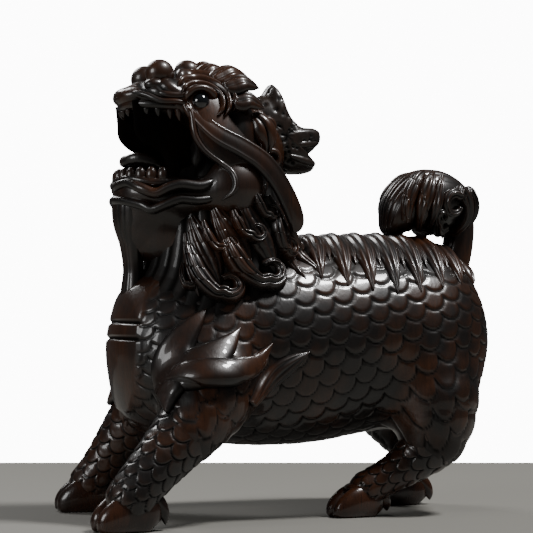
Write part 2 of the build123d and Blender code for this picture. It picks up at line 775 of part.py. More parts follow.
# Mane: locks down each side of the neck that end in curls with open eyes, raised from a leaning plane

# Shares of x and z of each curl and its size, and of the root that its lock hangs from
CURL_SHARES = [
    (-0.095, 0.556, 1.00),
    (-0.198, 0.513, 1.05),
    (-0.142, 0.615, 0.80),
    (-0.093, 0.668, 0.66),
    (-0.035, 0.612, 0.92),
    (-0.285, 0.515, 0.76),
    (0.022, 0.590, 0.76),
]
LOCK_ROOT_SHARES = [
    (-0.205, 0.640),
    (-0.262, 0.612),
    (-0.205, 0.675),
    (-0.140, 0.712),
    (-0.060, 0.700),
    (-0.300, 0.600),
    (-0.020, 0.665),
]
MANE_FOOT_SHARES = (0, 0.440, 0.513)
MANE_LEAN = 13.0
CURL_EYE_SHARE = 0.26
LOCK_BEND_SHARE = 0.045

neck_skin = tapered(
    path_of(NECK_PATH_SHARES), NECK_GIRTH_SHARES, NECK_WIDTH + 2 * MANE_RELIEF, NECK_DEPTH + 2 * MANE_RELIEF
)
trunk_skin = upright_slices(TORSO_SHARES, TORSO_WIDTH + 2 * MANE_RELIEF, TORSO_DEPTH + 2 * MANE_RELIEF)
with BuildPart() as mane_skin:
    add(neck_skin)
    add(trunk_skin)


def mane_form(side):
    """The raised locks of one side: each a tapered bent band that closes on a ring round its eye."""
    foot = path_of([MANE_FOOT_SHARES], side)[0]
    plane = Plane(origin=foot, x_dir=Vector(1, 0, 0), z_dir=ACROSS * side).rotated((side * MANE_LEAN, 0, 0))
    with BuildPart() as form:
        with BuildSketch(plane):
            for (curl_x, curl_z, size), (root_x, root_z) in zip(CURL_SHARES, LOCK_ROOT_SHARES):
                radius = size * CURL_DIAMETER / 2
                curl = plane.to_local_coords(spot(curl_x, foot.Y / BREADTH, curl_z))
                root = plane.to_local_coords(spot(root_x, foot.Y / BREADTH, root_z))
                fall = (curl - root).normalized()
                aside = fall.rotate(Axis.Z, 90)
                low_side = aside if aside.Y * side > 0 else -aside
                with BuildLine():
                    outer = curl + low_side * radius
                    inner = curl + low_side * radius * CURL_EYE_SHARE
                    bend = (root + outer) / 2 + low_side * LOCK_BEND_SHARE * LENGTH
                    hollow = (root + inner) / 2 + low_side * LOCK_BEND_SHARE * LENGTH / 2
                    ThreePointArc(root, bend, outer)
                    Line(outer, inner)
                    ThreePointArc(inner, hollow, root)
                make_face()
                with Locations(curl):
                    Circle(radius)
                    Circle(CURL_EYE_SHARE * radius, mode=Mode.SUBTRACT)
        extrude(amount=-RELIEF_REACH)
        add(mane_skin.part, mode=Mode.INTERSECT)
    return form.part


mane_left_form = mane_form(LEFT)
with BuildPart() as mane_left:
    add(mane_left_form)
    for neighbour in (torso_form, neck_form, skull_form, lower_jaw.part, whisker_left.part):
        add(neighbour, mode=Mode.SUBTRACT)
mane_left.part.label = "mane_left"
export_step(mane_left.part, "parts/mane_left.step")

mane_right_form = mane_form(RIGHT)
with BuildPart() as mane_right:
    add(mane_right_form)
    for neighbour in (torso_form, neck_form, skull_form, lower_jaw.part, whisker_right.part):
        add(neighbour, mode=Mode.SUBTRACT)
mane_right.part.label = "mane_right"
export_step(mane_right.part, "parts/mane_right.step")


# Shoulder flames: three tongues over the root of the foreleg and a fourth at the elbow

# Outline in the flame's own leaning plane: shares of the length and height from its foot
FLAME_FOOT_SHARES = (-0.233, 0.530, 0.350)
FLAME_OUTLINE_SHARES = [
    ((-0.130, -0.030), (-0.115, 0.055), (-0.010, 0.118)),
    ((-0.010, 0.118), (-0.045, 0.070), (-0.055, 0.022)),
    ((-0.055, 0.022), (-0.012, 0.060), (0.035, 0.100)),
    ((0.035, 0.100), (0.022, 0.060), (0.018, 0.015)),
    ((0.018, 0.015), (0.060, 0.030), (0.118, 0.042)),
    ((0.118, 0.042), (0.095, -0.010), (0.075, -0.040)),
    ((0.075, -0.040), (0.140, -0.030), (0.205, 0.012)),
    ((0.205, 0.012), (0.150, -0.085), (0.040, -0.105)),
    ((0.040, -0.105), (-0.060, -0.040), (-0.130, -0.030)),
]
FLAME_FORWARD_SHARE = 0.17
FLAME_UPWARD_SHARE = 0.30

flame_skin_width = TORSO_WIDTH + 2 * FLAME_RELIEF
flame_skin_depth = TORSO_DEPTH + 2 * FLAME_RELIEF
flame_trunk_skin = upright_slices(TORSO_SHARES, flame_skin_width, flame_skin_depth)


def flame_skin(side):
    """The trunk and one foreleg, both thicker by the flame's relief."""
    leg_shares = FORELEG_LEFT_SHARES if side == LEFT else FORELEG_RIGHT_SHARES
    leg_skin = leg_form(leg_shares, FORELEG_GIRTH_SHARES, FORELEG_THICKNESS + 2 * FLAME_RELIEF)
    with BuildPart() as skin:
        add(flame_trunk_skin)
        add(leg_skin)
    return skin.part


def flame_form(side):
    """The flame of one shoulder: its outline of arcs raised from a plane that leans with the shoulder."""
    foot = path_of([FLAME_FOOT_SHARES], side)[0]
    along = Vector(1, side * FLAME_FORWARD_SHARE, 0)
    plane = Plane(origin=foot, x_dir=along, z_dir=Vector(-FLAME_FORWARD_SHARE, side, FLAME_UPWARD_SHARE))
    with BuildPart() as form:
        with BuildSketch(plane):
            with BuildLine():
                for arc_shares in FLAME_OUTLINE_SHARES:
                    ThreePointArc(*[(along_x * LENGTH, -side * up_z * HEIGHT) for along_x, up_z in arc_shares])
            make_face()
        extrude(amount=-RELIEF_REACH)
        add(flame_skin(side), mode=Mode.INTERSECT)
    return form.part


flame_left_form = flame_form(LEFT)
with BuildPart() as shoulder_flame_left:
    add(flame_left_form)
    for neighbour in (torso_form, foreleg_left_form, mane_left.part):
        add(neighbour, mode=Mode.SUBTRACT)
shoulder_flame_left.part.label = "shoulder_flame_left"
export_step(shoulder_flame_left.part, "parts/shoulder_flame_left.step")

flame_right_form = flame_form(RIGHT)
with BuildPart() as shoulder_flame_right:
    add(flame_right_form)
    for neighbour in (torso_form, foreleg_right_form, mane_right.part):
        add(neighbour, mode=Mode.SUBTRACT)
shoulder_flame_right.part.label = "shoulder_flame_right"
export_step(shoulder_flame_right.part, "parts/shoulder_flame_right.step")


# Crest: a band along the spine with a row of pointed locks down each side, a skin over the trunk

CREST_START_SHARE = 0.020
CREST_PITCH_SHARE = 0.062
CREST_FLOOR_SHARE = 0.44
CREST_TOP_SHARE = 0.70
CREST_REACH_SHARES = [0.340, 0.350, 0.350, 0.345, 0.330, 0.300, 0.240]
# Corners of one lock: shares of its pitch along the spine, and of its reach down the flank
CREST_LOCK_SHARES = [(0, 0), (0.92, 0), (1.15, 0.45), (1.10, 1.00), (0.30, 0.50)]

crest_length = LENGTH * CREST_PITCH_SHARE * len(CREST_REACH_SHARES)
crest_skin_width = TORSO_WIDTH + 2 * CREST_THICKNESS
crest_skin_depth = TORSO_DEPTH + 2 * CREST_THICKNESS
crest_skin = upright_slices(TORSO_SHARES, crest_skin_width, crest_skin_depth)
with BuildPart() as back_crest:
    with BuildSketch(Plane(origin=spot(0, 0, CREST_FLOOR_SHARE), z_dir=UPRIGHT)):
        with Locations((LENGTH * CREST_START_SHARE + crest_length / 2, 0)):
            Rectangle(crest_length, CREST_BAND_WIDTH)
        for side in (LEFT, RIGHT):
            for index, reach_share in enumerate(CREST_REACH_SHARES):
                with BuildLine():
                    Polyline(
                        [
                            (
                                LENGTH * (CREST_START_SHARE + CREST_PITCH_SHARE * (index + along)),
                                side * BREADTH * reach_share * out,
                            )
                            for along, out in CREST_LOCK_SHARES
                        ],
                        close=True,
                    )
                make_face()
    extrude(amount=(CREST_TOP_SHARE - CREST_FLOOR_SHARE) * HEIGHT)
    add(crest_skin, mode=Mode.INTERSECT)
    add(torso_form, mode=Mode.SUBTRACT)
    add(neck_form, mode=Mode.SUBTRACT)
    add(tail_form, mode=Mode.SUBTRACT)
    add(tuft_form, mode=Mode.SUBTRACT)
    add(mane_left.part, mode=Mode.SUBTRACT)
    add(mane_right.part, mode=Mode.SUBTRACT)
back_crest.part.label = "back_crest"
export_step(back_crest.part, "parts/back_crest.step")
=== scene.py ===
"""Shisa lion statue, a palm-size carving of dark lacquered hardwood: its looks.

Places are in millimetres until a mesh is made. The beast faces -X and its left flank is towards -Y.
"""
import bpy
import math
import numpy as np
from mathutils import Matrix, Vector


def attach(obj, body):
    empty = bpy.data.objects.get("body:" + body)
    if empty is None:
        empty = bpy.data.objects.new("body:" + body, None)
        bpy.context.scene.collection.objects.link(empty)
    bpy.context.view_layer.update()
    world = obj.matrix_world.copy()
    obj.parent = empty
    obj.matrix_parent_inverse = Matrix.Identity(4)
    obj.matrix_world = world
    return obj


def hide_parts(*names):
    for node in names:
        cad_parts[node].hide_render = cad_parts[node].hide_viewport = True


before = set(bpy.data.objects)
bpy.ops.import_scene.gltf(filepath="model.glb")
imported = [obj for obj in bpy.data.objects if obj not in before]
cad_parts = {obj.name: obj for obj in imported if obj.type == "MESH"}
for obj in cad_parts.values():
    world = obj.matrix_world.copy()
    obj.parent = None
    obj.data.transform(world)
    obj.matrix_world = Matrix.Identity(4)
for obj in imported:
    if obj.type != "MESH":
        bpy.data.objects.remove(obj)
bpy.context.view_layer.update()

MM = 0.001
LEFT, RIGHT = -1, 1
# Places on the whole statue are shares of these, as in the solids; the two shifts centre its box
LENGTH, BREADTH, HEIGHT = 60, 30, 60
SHIFT_X, SHIFT_Y = -0.0045, -0.006
MIDDLE = SHIFT_Y * BREADTH
# The horn's punch marks are laid at random from this seed
rng = np.random.default_rng(7)


# Places and curves

def spots(rows, side=RIGHT):
    """Places in mm from shares of the statue's length, breadth and height; side swaps the sign of y."""
    rows = np.array(rows, float)
    x, y, z = rows.T
    return np.stack([(x + SHIFT_X) * LENGTH, (side * y + SHIFT_Y) * BREADTH, z * HEIGHT], 1)


def midline(*places):
    """Places on the statue's middle plane, from x and z in mm."""
    return [(x, MIDDLE, z) for x, z in places]


def at_side(places, side):
    """The same places on either side of the middle plane."""
    x, y, z = np.moveaxis(np.array(places, float), -1, 0)
    return np.stack([x, side * np.abs(y - MIDDLE) + MIDDLE, z], -1)


def round_front(places):
    """A path given for one side, carried round the front to the other."""
    return np.vstack([at_side(places, LEFT), at_side(places[-2::-1], RIGHT)])


def tapered(path, end, middle):
    """Sizes along a path: the same all the way, but for its two ends."""
    return [end] + [middle] * (len(path) - 2) + [end]


def length_along(places):
    """How far along a row of places each one is."""
    steps = np.linalg.norm(np.diff(places, axis=0), axis=1)
    return np.concatenate([[0], np.cumsum(steps)])


def full_turn(count):
    """So many angles evenly round a circle."""
    return np.arange(count) / count * 2 * math.pi


def curve(points, count, dims=3):
    """A Catmull-Rom curve through rows of numbers, at even steps of length over its first dims columns.

    Between b and c, with a before and d after them, it is the cubic whose slope at b is half of c less a,
    and at c half of d less b. Each span is first worked out in 60 steps.
    """
    pts = np.asarray(points, float)
    spans = len(pts) - 1
    ends = np.vstack([2 * pts[0] - pts[1], pts, 2 * pts[-1] - pts[-2]])
    t = np.linspace(0, spans, 60 * spans + 1)
    i = np.minimum(t.astype(int), spans - 1)
    f = (t - i)[:, None]
    a, b, c, d = ends[i], ends[i + 1], ends[i + 2], ends[i + 3]
    fine = b + 0.5 * f * (c - a + f * (2 * a - 5 * b + 4 * c - d + f * (3 * (b - c) + d - a)))
    length = length_along(fine[:, :dims])
    even = np.linspace(0, length[-1], count)
    return np.stack([np.interp(even, length, column) for column in fine.T], 1)


def smooth(low, high, value):
    """A smooth step from 0 at low to 1 at high: 3 t squared less 2 t cubed."""
    t = np.clip((value - low) / (high - low), 0, 1)
    return t * t * (3 - 2 * t)


def unit(v):
    """Vectors of length one."""
    return v / np.maximum(np.linalg.norm(v, axis=-1, keepdims=True), 1e-9)


# Fields: roughly the distance in mm to a form's skin, negative inside

def tube(points, radii, squash=1.0, pieces=12):
    """A row of round cones along a path; squash below one makes it narrower across than it is deep.

    The field is the least distance to the cones' axes, less the radius at the nearest place on each.
    """
    pts = curve(np.column_stack([points, radii]), pieces + 1)
    scale = np.array([1, 1 / squash, 1])
    knots = pts[:, :3] * scale

    def field(p):
        q = p * scale
        best = None
        for start, end, r0, r1 in zip(knots[:-1], knots[1:], pts[:-1, 3], pts[1:, 3]):
            d = end - start
            h = np.clip(((q - start) @ d) / (d @ d), 0, 1)
            gap = np.linalg.norm(q - start - h[..., None] * d, axis=-1) - r0 - h * (r1 - r0)
            best = gap if best is None else np.minimum(best, gap)
        return best * squash
    return field


def ball(centre, radii):
    """An ellipsoid: how many radii away a place is, less one, times the smallest radius."""
    centre, radii = np.array(centre, float), np.array(radii, float)

    def field(p):
        return (np.linalg.norm((p - centre) / radii, axis=-1) - 1) * radii.min()
    return field


def sections(rows, width, depth):
    """Upright ellipses along X, from rows of shares of x, z, width and depth, rounded off at both ends.

    The squares of the sizes are what runs smoothly between the rows, so each end closes like a ball. The
    ratio is how many half sizes a place is away from the middle line. Near the skin the field is the ratio
    less one over its slope, and farther out it is the ratio less one times the smaller half size.
    """
    cap, step, near = 0.0035, 0.04, 1.25
    rows = np.array(rows, float)
    rows[:, 2:] **= 2
    first, last = rows[0].copy(), rows[-1].copy()
    first[0] -= cap
    last[0] += cap
    first[2:] = last[2:] = 0
    fine = curve(np.vstack([first, rows, last]), 600, dims=1)
    x, z = (fine[:, 0] + SHIFT_X) * LENGTH, fine[:, 1] * HEIGHT
    half_width, half_depth = (np.sqrt(np.clip(fine[:, 2:], 1e-6, 9)) * [width / 2, depth / 2]).T

    def ratio_at(along, p):
        w, d = np.interp(along, x, half_width), np.interp(along, x, half_depth)
        return np.hypot((p[..., 1] - MIDDLE) / w, (p[..., 2] - np.interp(along, x, z)) / d), np.minimum(w, d)

    def field(p):
        along = p[..., 0]
        ratio, girth = ratio_at(along, p)
        slope = (ratio_at(along + step, p)[0] - ratio_at(along - step, p)[0]) / (2 * step)
        gap = (ratio - 1) * np.where(ratio > near, girth, 1 / np.hypot(slope, 1 / girth))
        return np.maximum(gap, np.maximum(x[0] - along, along - x[-1]))
    return field


def join(k, *fields):
    """Forms joined with a fillet about k wide: a smooth minimum of their fields."""
    def field(p):
        d = fields[0](p)
        for other in fields[1:]:
            e = other(p)
            h = np.clip(0.5 + 0.5 * (e - d) / k, 0, 1)
            d = e * (1 - h) + d * h - k * h * (1 - h)
        return d
    return field


def without(field, *holes):
    """A form less its holes: the largest of its field and of the holes' fields with their signs turned."""
    return lambda p: np.maximum.reduce([field(p)] + [-hole(p) for hole in holes])


def within(field, bound):
    """The part of a form inside another one: the larger of their two fields."""
    return lambda p: np.maximum(field(p), bound(p))


def swollen(field, by):
    """A form grown by so many mm, or shrunk where by is negative."""
    return lambda p: field(p) - by


# Surfaces: grids of places, rows along a form and columns round it

def closed(grid):
    """A grid with its first row drawn together into one place, and its last row too."""
    grid[0], grid[-1] = grid[0].mean(0), grid[-1].mean(0)
    return grid


def frames(axis):
    """Tangent and two cross directions at each place of a path; the second starts near Y."""
    ahead = unit(np.gradient(axis, axis=0))
    side = np.array([0, 1.0, 0]) - ahead * ahead[:, 1:2]
    side = unit(side)
    return ahead, side, np.cross(ahead, side)


def cast(field, path, middle, around, ends):
    """The skin met by rays from a path: rows of rays square to it, and a fan of rays at each end.

    Each ray goes outwards by 0.92 of the field's distance, 20 times over, until it settles on the skin.
    """
    first_reach, least, most = 0.05, 0.02, 60
    axis = curve(path, middle)
    ahead, side, over = frames(axis)
    fan = np.arange(ends) / ends * math.pi / 2
    tilt = np.concatenate([fan - math.pi / 2, np.zeros(middle), math.pi / 2 - fan[::-1]])
    index = np.concatenate([np.zeros(ends, int), np.arange(middle), np.full(ends, middle - 1)])
    turn = full_turn(around)
    ring = side[index][:, None] * np.cos(turn)[:, None] + over[index][:, None] * np.sin(turn)[:, None]
    way = ring * np.cos(tilt)[:, None, None] + ahead[index][:, None] * np.sin(tilt)[:, None, None]
    start = axis[index][:, None]
    reach = np.full(way.shape[:2], first_reach)
    for _ in range(20):
        reach = np.clip(reach - 0.92 * field(start + reach[..., None] * way), least, most)
    return closed(start + reach[..., None] * way)


def skin_normals(grid):
    """Outward unit normals of a closed grid: the step round it crossed with the step along it."""
    along = np.gradient(grid, axis=0)
    round_it = np.roll(grid, -1, 1) - np.roll(grid, 1, 1)
    normal = unit(np.cross(round_it, along))
    normal[0], normal[-1] = normal[1].mean(0), normal[-2].mean(0)
    centre = grid.mean((0, 1))
    if ((grid - centre) * normal).sum() < 0:
        normal = -normal
    return unit(normal)


def raised(grid, height):
    """A grid moved along its normals, with its two poles kept closed."""
    return closed(grid + skin_normals(grid) * height[..., None])


def evened(field, turns):
    """Rows that close on themselves, each value moved to the mean of its four neighbours, turn after turn.

    The move is whole over the first seven tenths of the rows and dies away towards the last one.
    """
    weight = smooth(len(field), 0.7 * len(field), np.arange(len(field)))[1:-1, None]
    field = field.copy()
    for _ in range(turns):
        mean = (np.roll(field, 1, 1) + np.roll(field, -1, 1))[1:-1] + field[2:] + field[:-2]
        field[1:-1] += weight * (0.25 * mean - field[1:-1])
        field[0] = field[1].mean()
    return field


def part(grid, stain_and_shade=0.0, worn=0.0):
    """A closed grid with how much stain and painted shade darken each place on it, and how worn it is."""
    shape = grid.shape[:2]
    return grid, np.broadcast_to(stain_and_shade, shape), np.broadcast_to(worn, shape)


# Scales in mm: from row to row, across one scale, and the width of the groove at its edge
SCALE_ROW, SCALE_WIDTH, SCALE_GROOVE = 2.1, 3.3, 0.17
# A scale is so many rows long at its sides, and so much longer at the middle of its round edge
SCALE_SIDE, SCALE_ROUND = 0.93, 0.82


def scales(a, b):
    """Overlapping scales: a runs down and b across them. Gives height and groove, each from 0 to 1.

    A scale starts at its row's line and ends over the next row at a free edge that is half an ellipse.
    Every second row is shifted by half a scale. Height grows evenly from line to edge, and groove is
    exp(-t squared), where t is the distance to the edge over the width of the groove.
    """
    n = np.floor(a / SCALE_ROW)
    down = a / SCALE_ROW - n

    def edge(index):
        shift = np.mod(index, 2) * 0.5
        across = b / SCALE_WIDTH - shift
        across = 2 * (across - np.round(across))
        return SCALE_SIDE + SCALE_ROUND * np.sqrt(np.clip(1 - across ** 2, 0, 1)), across
    upper, across = edge(n - 1)
    covered = down + 1 <= upper
    height = np.where(covered, (down + 1) / upper, down / (SCALE_SIDE + SCALE_ROUND))
    slope = SCALE_ROUND * SCALE_ROW * across / np.sqrt(np.clip(1 - across ** 2, 0.04, 1)) / (SCALE_WIDTH / 2)
    gap = (down + 1 - upper) * SCALE_ROW / np.sqrt(1 + slope ** 2)
    groove = np.exp(-np.clip(gap / SCALE_GROOVE, -9, 9) ** 2)
    return height, groove


def carve_scales(grid, a, b, depth, amount):
    """A grid with scales cut in it: sawtooth height, and a narrow groove at each free edge."""
    height, groove = scales(a, b)
    cut = depth * (height - 0.5) - 0.75 * depth * groove
    grid = raised(grid, cut * amount)
    return part(grid, groove * amount, np.clip(height - 0.55, 0, 1) * 1.6 * amount * (1 - groove))


def pebble(outline, centre, half_thick, rows=90, around=120, power=0.62):
    """A rounded slab from an outline of x and z places that can all be seen from its centre.

    Each row is the outline shrunk by a power of the cosine of its latitude across Y.
    """
    whole = np.vstack([outline, outline[:1]])
    offset = curve(whole, 400, dims=2) - np.array([centre[0], centre[2]])
    angle = np.unwrap(np.arctan2(offset[:, 1], offset[:, 0]))
    if angle[-1] < angle[0]:
        offset, angle = offset[::-1], angle[::-1]
    turn = angle[0] + full_turn(around)
    reach = np.interp(turn, angle, np.hypot(*offset.T))
    rise = np.linspace(-math.pi / 2, math.pi / 2, rows)[:, None]
    girth = np.cos(rise).clip(0) ** power
    x = centre[0] + reach * girth * np.cos(turn)
    y = centre[1] + half_thick * np.sin(rise) + 0 * turn
    z = centre[2] + reach * girth * np.sin(turn)
    return np.stack([x, y, z], -1)


def pitted_grid(grid, count, radius, depth):
    """A grid with round punch marks at random places, and how far into a mark each place then is.

    A mark's depth falls off as exp(-t squared), where t is the distance to its middle over its radius.
    """
    flat = grid.reshape(-1, 3)
    marks = flat[rng.integers(0, len(flat), count)]
    nearest = np.full(len(flat), 9.0)
    for mark in marks:
        nearest = np.minimum(nearest, np.linalg.norm(flat - mark, axis=1))
    dent = np.exp(-(nearest / radius) ** 2).reshape(grid.shape[:2])
    return raised(grid, -depth * dent), dent


def strands(across, count):
    """Heights 0 to 1 of half-round strands side by side, for across from -1 to 1."""
    at = (across + 1) / 2 * count
    return np.sqrt(np.clip(1 - (2 * (at - np.floor(at)) - 1) ** 2, 0, 1))


def ribbon_profile(around):
    """Across -1 to 1 over the top, then back underneath; and which columns are on top."""
    top = around * 2 // 3
    over = -np.cos(np.linspace(0, math.pi, top))
    under = np.cos(np.linspace(0, math.pi, around - top + 2))[1:-1]
    return np.concatenate([over, under]), np.arange(around) < top


def lock(surface, path, height, count, rows, around, sink, square=2):
    """A flat lock of hair on a surface: rows of a, b and half width, with strands along it.

    surface turns 2-D places into 3-D ones and normals; the underside is sunk below it. The crown is the
    root of one less the distance from the middle to the power of square, so a larger square gives the
    lock a flatter top. The top is just over half crown, and the rest is the crown's root times its strands.
    """
    line = curve(path, rows, dims=2)
    ahead = unit(np.gradient(line[:, :2], axis=0))
    aside = np.stack([-ahead[:, 1], ahead[:, 0]], 1)
    across, on_top = ribbon_profile(around)
    half = np.maximum(line[:, 2], 0.02)
    flat = line[:, None, :2] + aside[:, None] * (half[:, None] * across)[..., None]
    place, normal = surface(flat[..., 0], flat[..., 1])
    tall = height * np.clip(half / half.max(), 0, 1) ** 0.7
    ridge = strands(across, count)
    crown = np.sqrt(np.clip(1 - np.abs(across) ** square, 0, 1))
    top = tall[:, None] * (0.55 * crown + 0.45 * ridge * crown ** 0.5) - sink * (1 - crown)
    lift = np.where(on_top, top, -sink)
    grid = closed(place + normal * lift[..., None])
    stain_and_shade = np.where(on_top, np.clip(1 - 1.5 * ridge * crown ** 0.4, 0, 1), 1)
    worn = np.where(on_top, np.clip(ridge - 0.6, 0, 1) * 2 * crown, 0)
    return part(grid, stain_and_shade * np.ones((rows, 1)), worn * np.ones((rows, 1)))


def strand(path, widths, thicknesses, up, rows, around, count=1, groove=0.0, twist=0.0, rim=0.0):
    """A free lock along a 3-D path: ellipses whose width is square to up, with count strands over each side.

    Each ellipse is its width times the cosine, and its thickness times the sine, of the angle round it.
    Both are closed off at the ends by the root of 1 less t to the 16th, where t runs from -1 to 1. The
    middle of each face is sunk by the share rim, which leaves its edges raised.
    """
    pts = np.column_stack([path, widths, thicknesses])
    line = curve(pts, rows)
    axis = line[:, :3]
    ahead = unit(np.gradient(axis, axis=0))
    up = np.broadcast_to(np.array(up, float), axis.shape)
    lift = unit(up - ahead * (up * ahead).sum(1, keepdims=True))
    aside = np.cross(lift, ahead)
    turn = full_turn(around)
    ease = np.sqrt(np.clip(1 - (2 * np.linspace(0, 1, rows) - 1) ** 16, 0, 1))[:, None]
    across = np.cos(turn + twist * np.linspace(0, 1, rows)[:, None])
    tall = np.sin(turn + twist * np.linspace(0, 1, rows)[:, None])
    ridge = strands(across, count) if count > 1 else np.ones_like(across)
    ring = 1 - groove * (1 - ridge) * np.abs(tall) - rim * np.clip(1 - (across / 0.72) ** 6, 0, 1)
    wide = (line[:, 3:4] * ease * across)[..., None]
    high = (line[:, 4:5] * ease * tall * ring)[..., None]
    grid = closed(axis[:, None] + aside[:, None] * wide + lift[:, None] * high)
    stain_and_shade = np.clip(1 - 1.4 * ridge, 0, 1) * np.abs(tall)
    worn = np.clip(ridge - 0.6, 0, 1) * 1.5 * np.clip(tall, 0, 1)
    return part(grid, stain_and_shade, worn)


def dome(centre, radii, rows=32, around=40):
    """An ellipsoid: its centre plus its radii times the sines and cosines of a polar and a round angle."""
    polar = np.linspace(0, math.pi, rows)[:, None]
    turn = full_turn(around)
    way = np.stack([np.sin(polar) * np.cos(turn), np.sin(polar) * np.sin(turn), np.cos(polar) + 0 * turn], -1)
    return np.array(centre, float) + way * np.array(radii, float)


def curl_path(lead, centre, radius, eye, half_start, half_end, start, turns):
    """Path rows of a lock that runs in along lead and winds into a spiral round centre.

    start is the angle at which it meets the spiral, in degrees; turns is signed. The spiral's reach
    shrinks evenly with its angle.
    """
    t = np.linspace(0, 1, 14)
    half = half_start + (half_end - half_start) * t
    at = math.radians(start) + t * turns * 2 * math.pi
    reach = radius - half_start + (eye + half_end - radius + half_start) * t
    wound = np.stack([centre[0] + reach * np.cos(at), centre[1] + reach * np.sin(at), half], 1)
    return np.vstack([np.array(lead, float), wound])


# Meshes

def faces(rows, around):
    """A closed grid's quads between its rows, and a fan of triangles at each pole, as numbers of places."""
    ring = np.arange(around)
    after = np.roll(ring, -1)
    start = 1 + np.arange(rows - 3)[:, None] * around
    quads = np.stack([start + ring, start + after, start + around + after, start + around + ring], -1)
    last = 1 + (rows - 3) * around
    head = np.stack([np.zeros(around, int), 1 + after, 1 + ring], 1)
    foot = np.stack([last + ring, last + after, np.full(around, last + around)], 1)
    return quads.reshape(-1, 4), np.vstack([head, foot])


def room(places, corners):
    """Six times the room that triangles take up with the origin, negative where they face inwards."""
    a, b, c = (places[corners[:, k]] for k in range(3))
    return np.einsum("ij,ij->i", a, np.cross(b, c)).sum()


def without_repeats(grid):
    """A closed grid's values as one row: its first pole, its rows and its last pole."""
    return np.concatenate([grid[0, :1], grid[1:-1].reshape(-1, *grid.shape[2:]), grid[-1, :1]])


def mesh_piece(name, parts, material, slot_name, *nodes):
    """One object from closed grids, with faces that point outwards, standing in for a CAD node."""
    places, loops, sizes, stains_and_shades, worns = [], [], [], [], []
    base = 0
    for grid, stain_and_shade, worn in parts:
        verts = without_repeats(grid)
        quads, tris = faces(*grid.shape[:2])
        inside = room(verts, tris) + room(verts, quads[:, :3]) + room(verts, quads[:, [0, 2, 3]])
        if inside < 0:
            quads, tris = quads[:, ::-1], tris[:, ::-1]
        places.append(verts)
        loops += [quads.ravel() + base, tris.ravel() + base]
        sizes += [np.full(len(quads), 4), np.full(len(tris), 3)]
        stains_and_shades.append(without_repeats(stain_and_shade))
        worns.append(without_repeats(worn))
        base += len(verts)
    places = np.vstack(places) * MM
    loops, sizes = np.concatenate(loops), np.concatenate(sizes)
    mesh = bpy.data.meshes.new(name)
    mesh.vertices.add(len(places))
    mesh.vertices.foreach_set("co", places.ravel().astype(np.float32))
    mesh.loops.add(len(loops))
    mesh.loops.foreach_set("vertex_index", loops.astype(np.int32))
    mesh.polygons.add(len(sizes))
    mesh.polygons.foreach_set("loop_start", (np.cumsum(sizes) - sizes).astype(np.int32))
    mesh.polygons.foreach_set("loop_total", sizes.astype(np.int32))
    mesh.polygons.foreach_set("use_smooth", np.ones(len(sizes), bool))
    mesh.update(calc_edges=True)
    mesh.validate()
    for label, value in (("stain_and_shade", stains_and_shades), ("worn", worns)):
        layer = mesh.attributes.new(label, "FLOAT", "POINT")
        layer.data.foreach_set("value", np.clip(np.concatenate(value), 0, 1).astype(np.float32))
    obj = bpy.data.objects.new(name, mesh)
    bpy.context.collection.objects.link(obj)
    mesh.materials.append(material)
    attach(obj, "root")
    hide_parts(*nodes)


# Materials

def linear(colour):
    """Linear RGBA from an sRGB hex string."""
    srgb = [int(colour[i:i + 2], 16) / 255 for i in (1, 3, 5)]
    return tuple([c / 12.92 if c <= 0.04045 else ((c + 0.055) / 1.055) ** 2.4 for c in srgb] + [1.0])


def feed(tree, made, inputs):
    """Links or sets a node's inputs."""
    for key, value in inputs.items():
        if isinstance(value, bpy.types.NodeSocket):
            tree.links.new(value, made.inputs[key])
        else:
            made.inputs[key].default_value = value


def node(tree, kind, inputs, gives=0, **settings):
    """Adds a node with its attributes and inputs, and gives the output asked for."""
    made = tree.nodes.new(kind)
    for key, value in settings.items():
        setattr(made, key, value)
    feed(tree, made, inputs)
    return made.outputs[gives]


# A range's inputs are its value, from low, from high, to low and to high; a mix takes its colours at 6 and 7
MAPPING, NOISE, RANGE = "ShaderNodeMapping", "ShaderNodeTexNoise", "ShaderNodeMapRange"
MATH, MIX = "ShaderNodeMath", "ShaderNodeMix"

# Patterns of the wood: size in mm across the grain, its share of waves along the grain, detail, roughness.
# They are blotches of stain, grain lines and pores. Real pores are about 0.1 mm wide, too fine to show, so
# they are drawn about half a grain line wide.
GRAIN_LINE = 0.526
WOOD_PATTERNS = [(7.69, 0.8, 3.0, 0.5), (GRAIN_LINE, 0.07, 4.0, 0.6), (GRAIN_LINE / 2, 0.10, 2.0, 0.5)]
# Marks of a blunt punch, and clouds in the glass, in mm; a real bead's are finer, and wouldn't show
PUNCH_MARK = 1.11
GLASS_CLOUD = 1.11


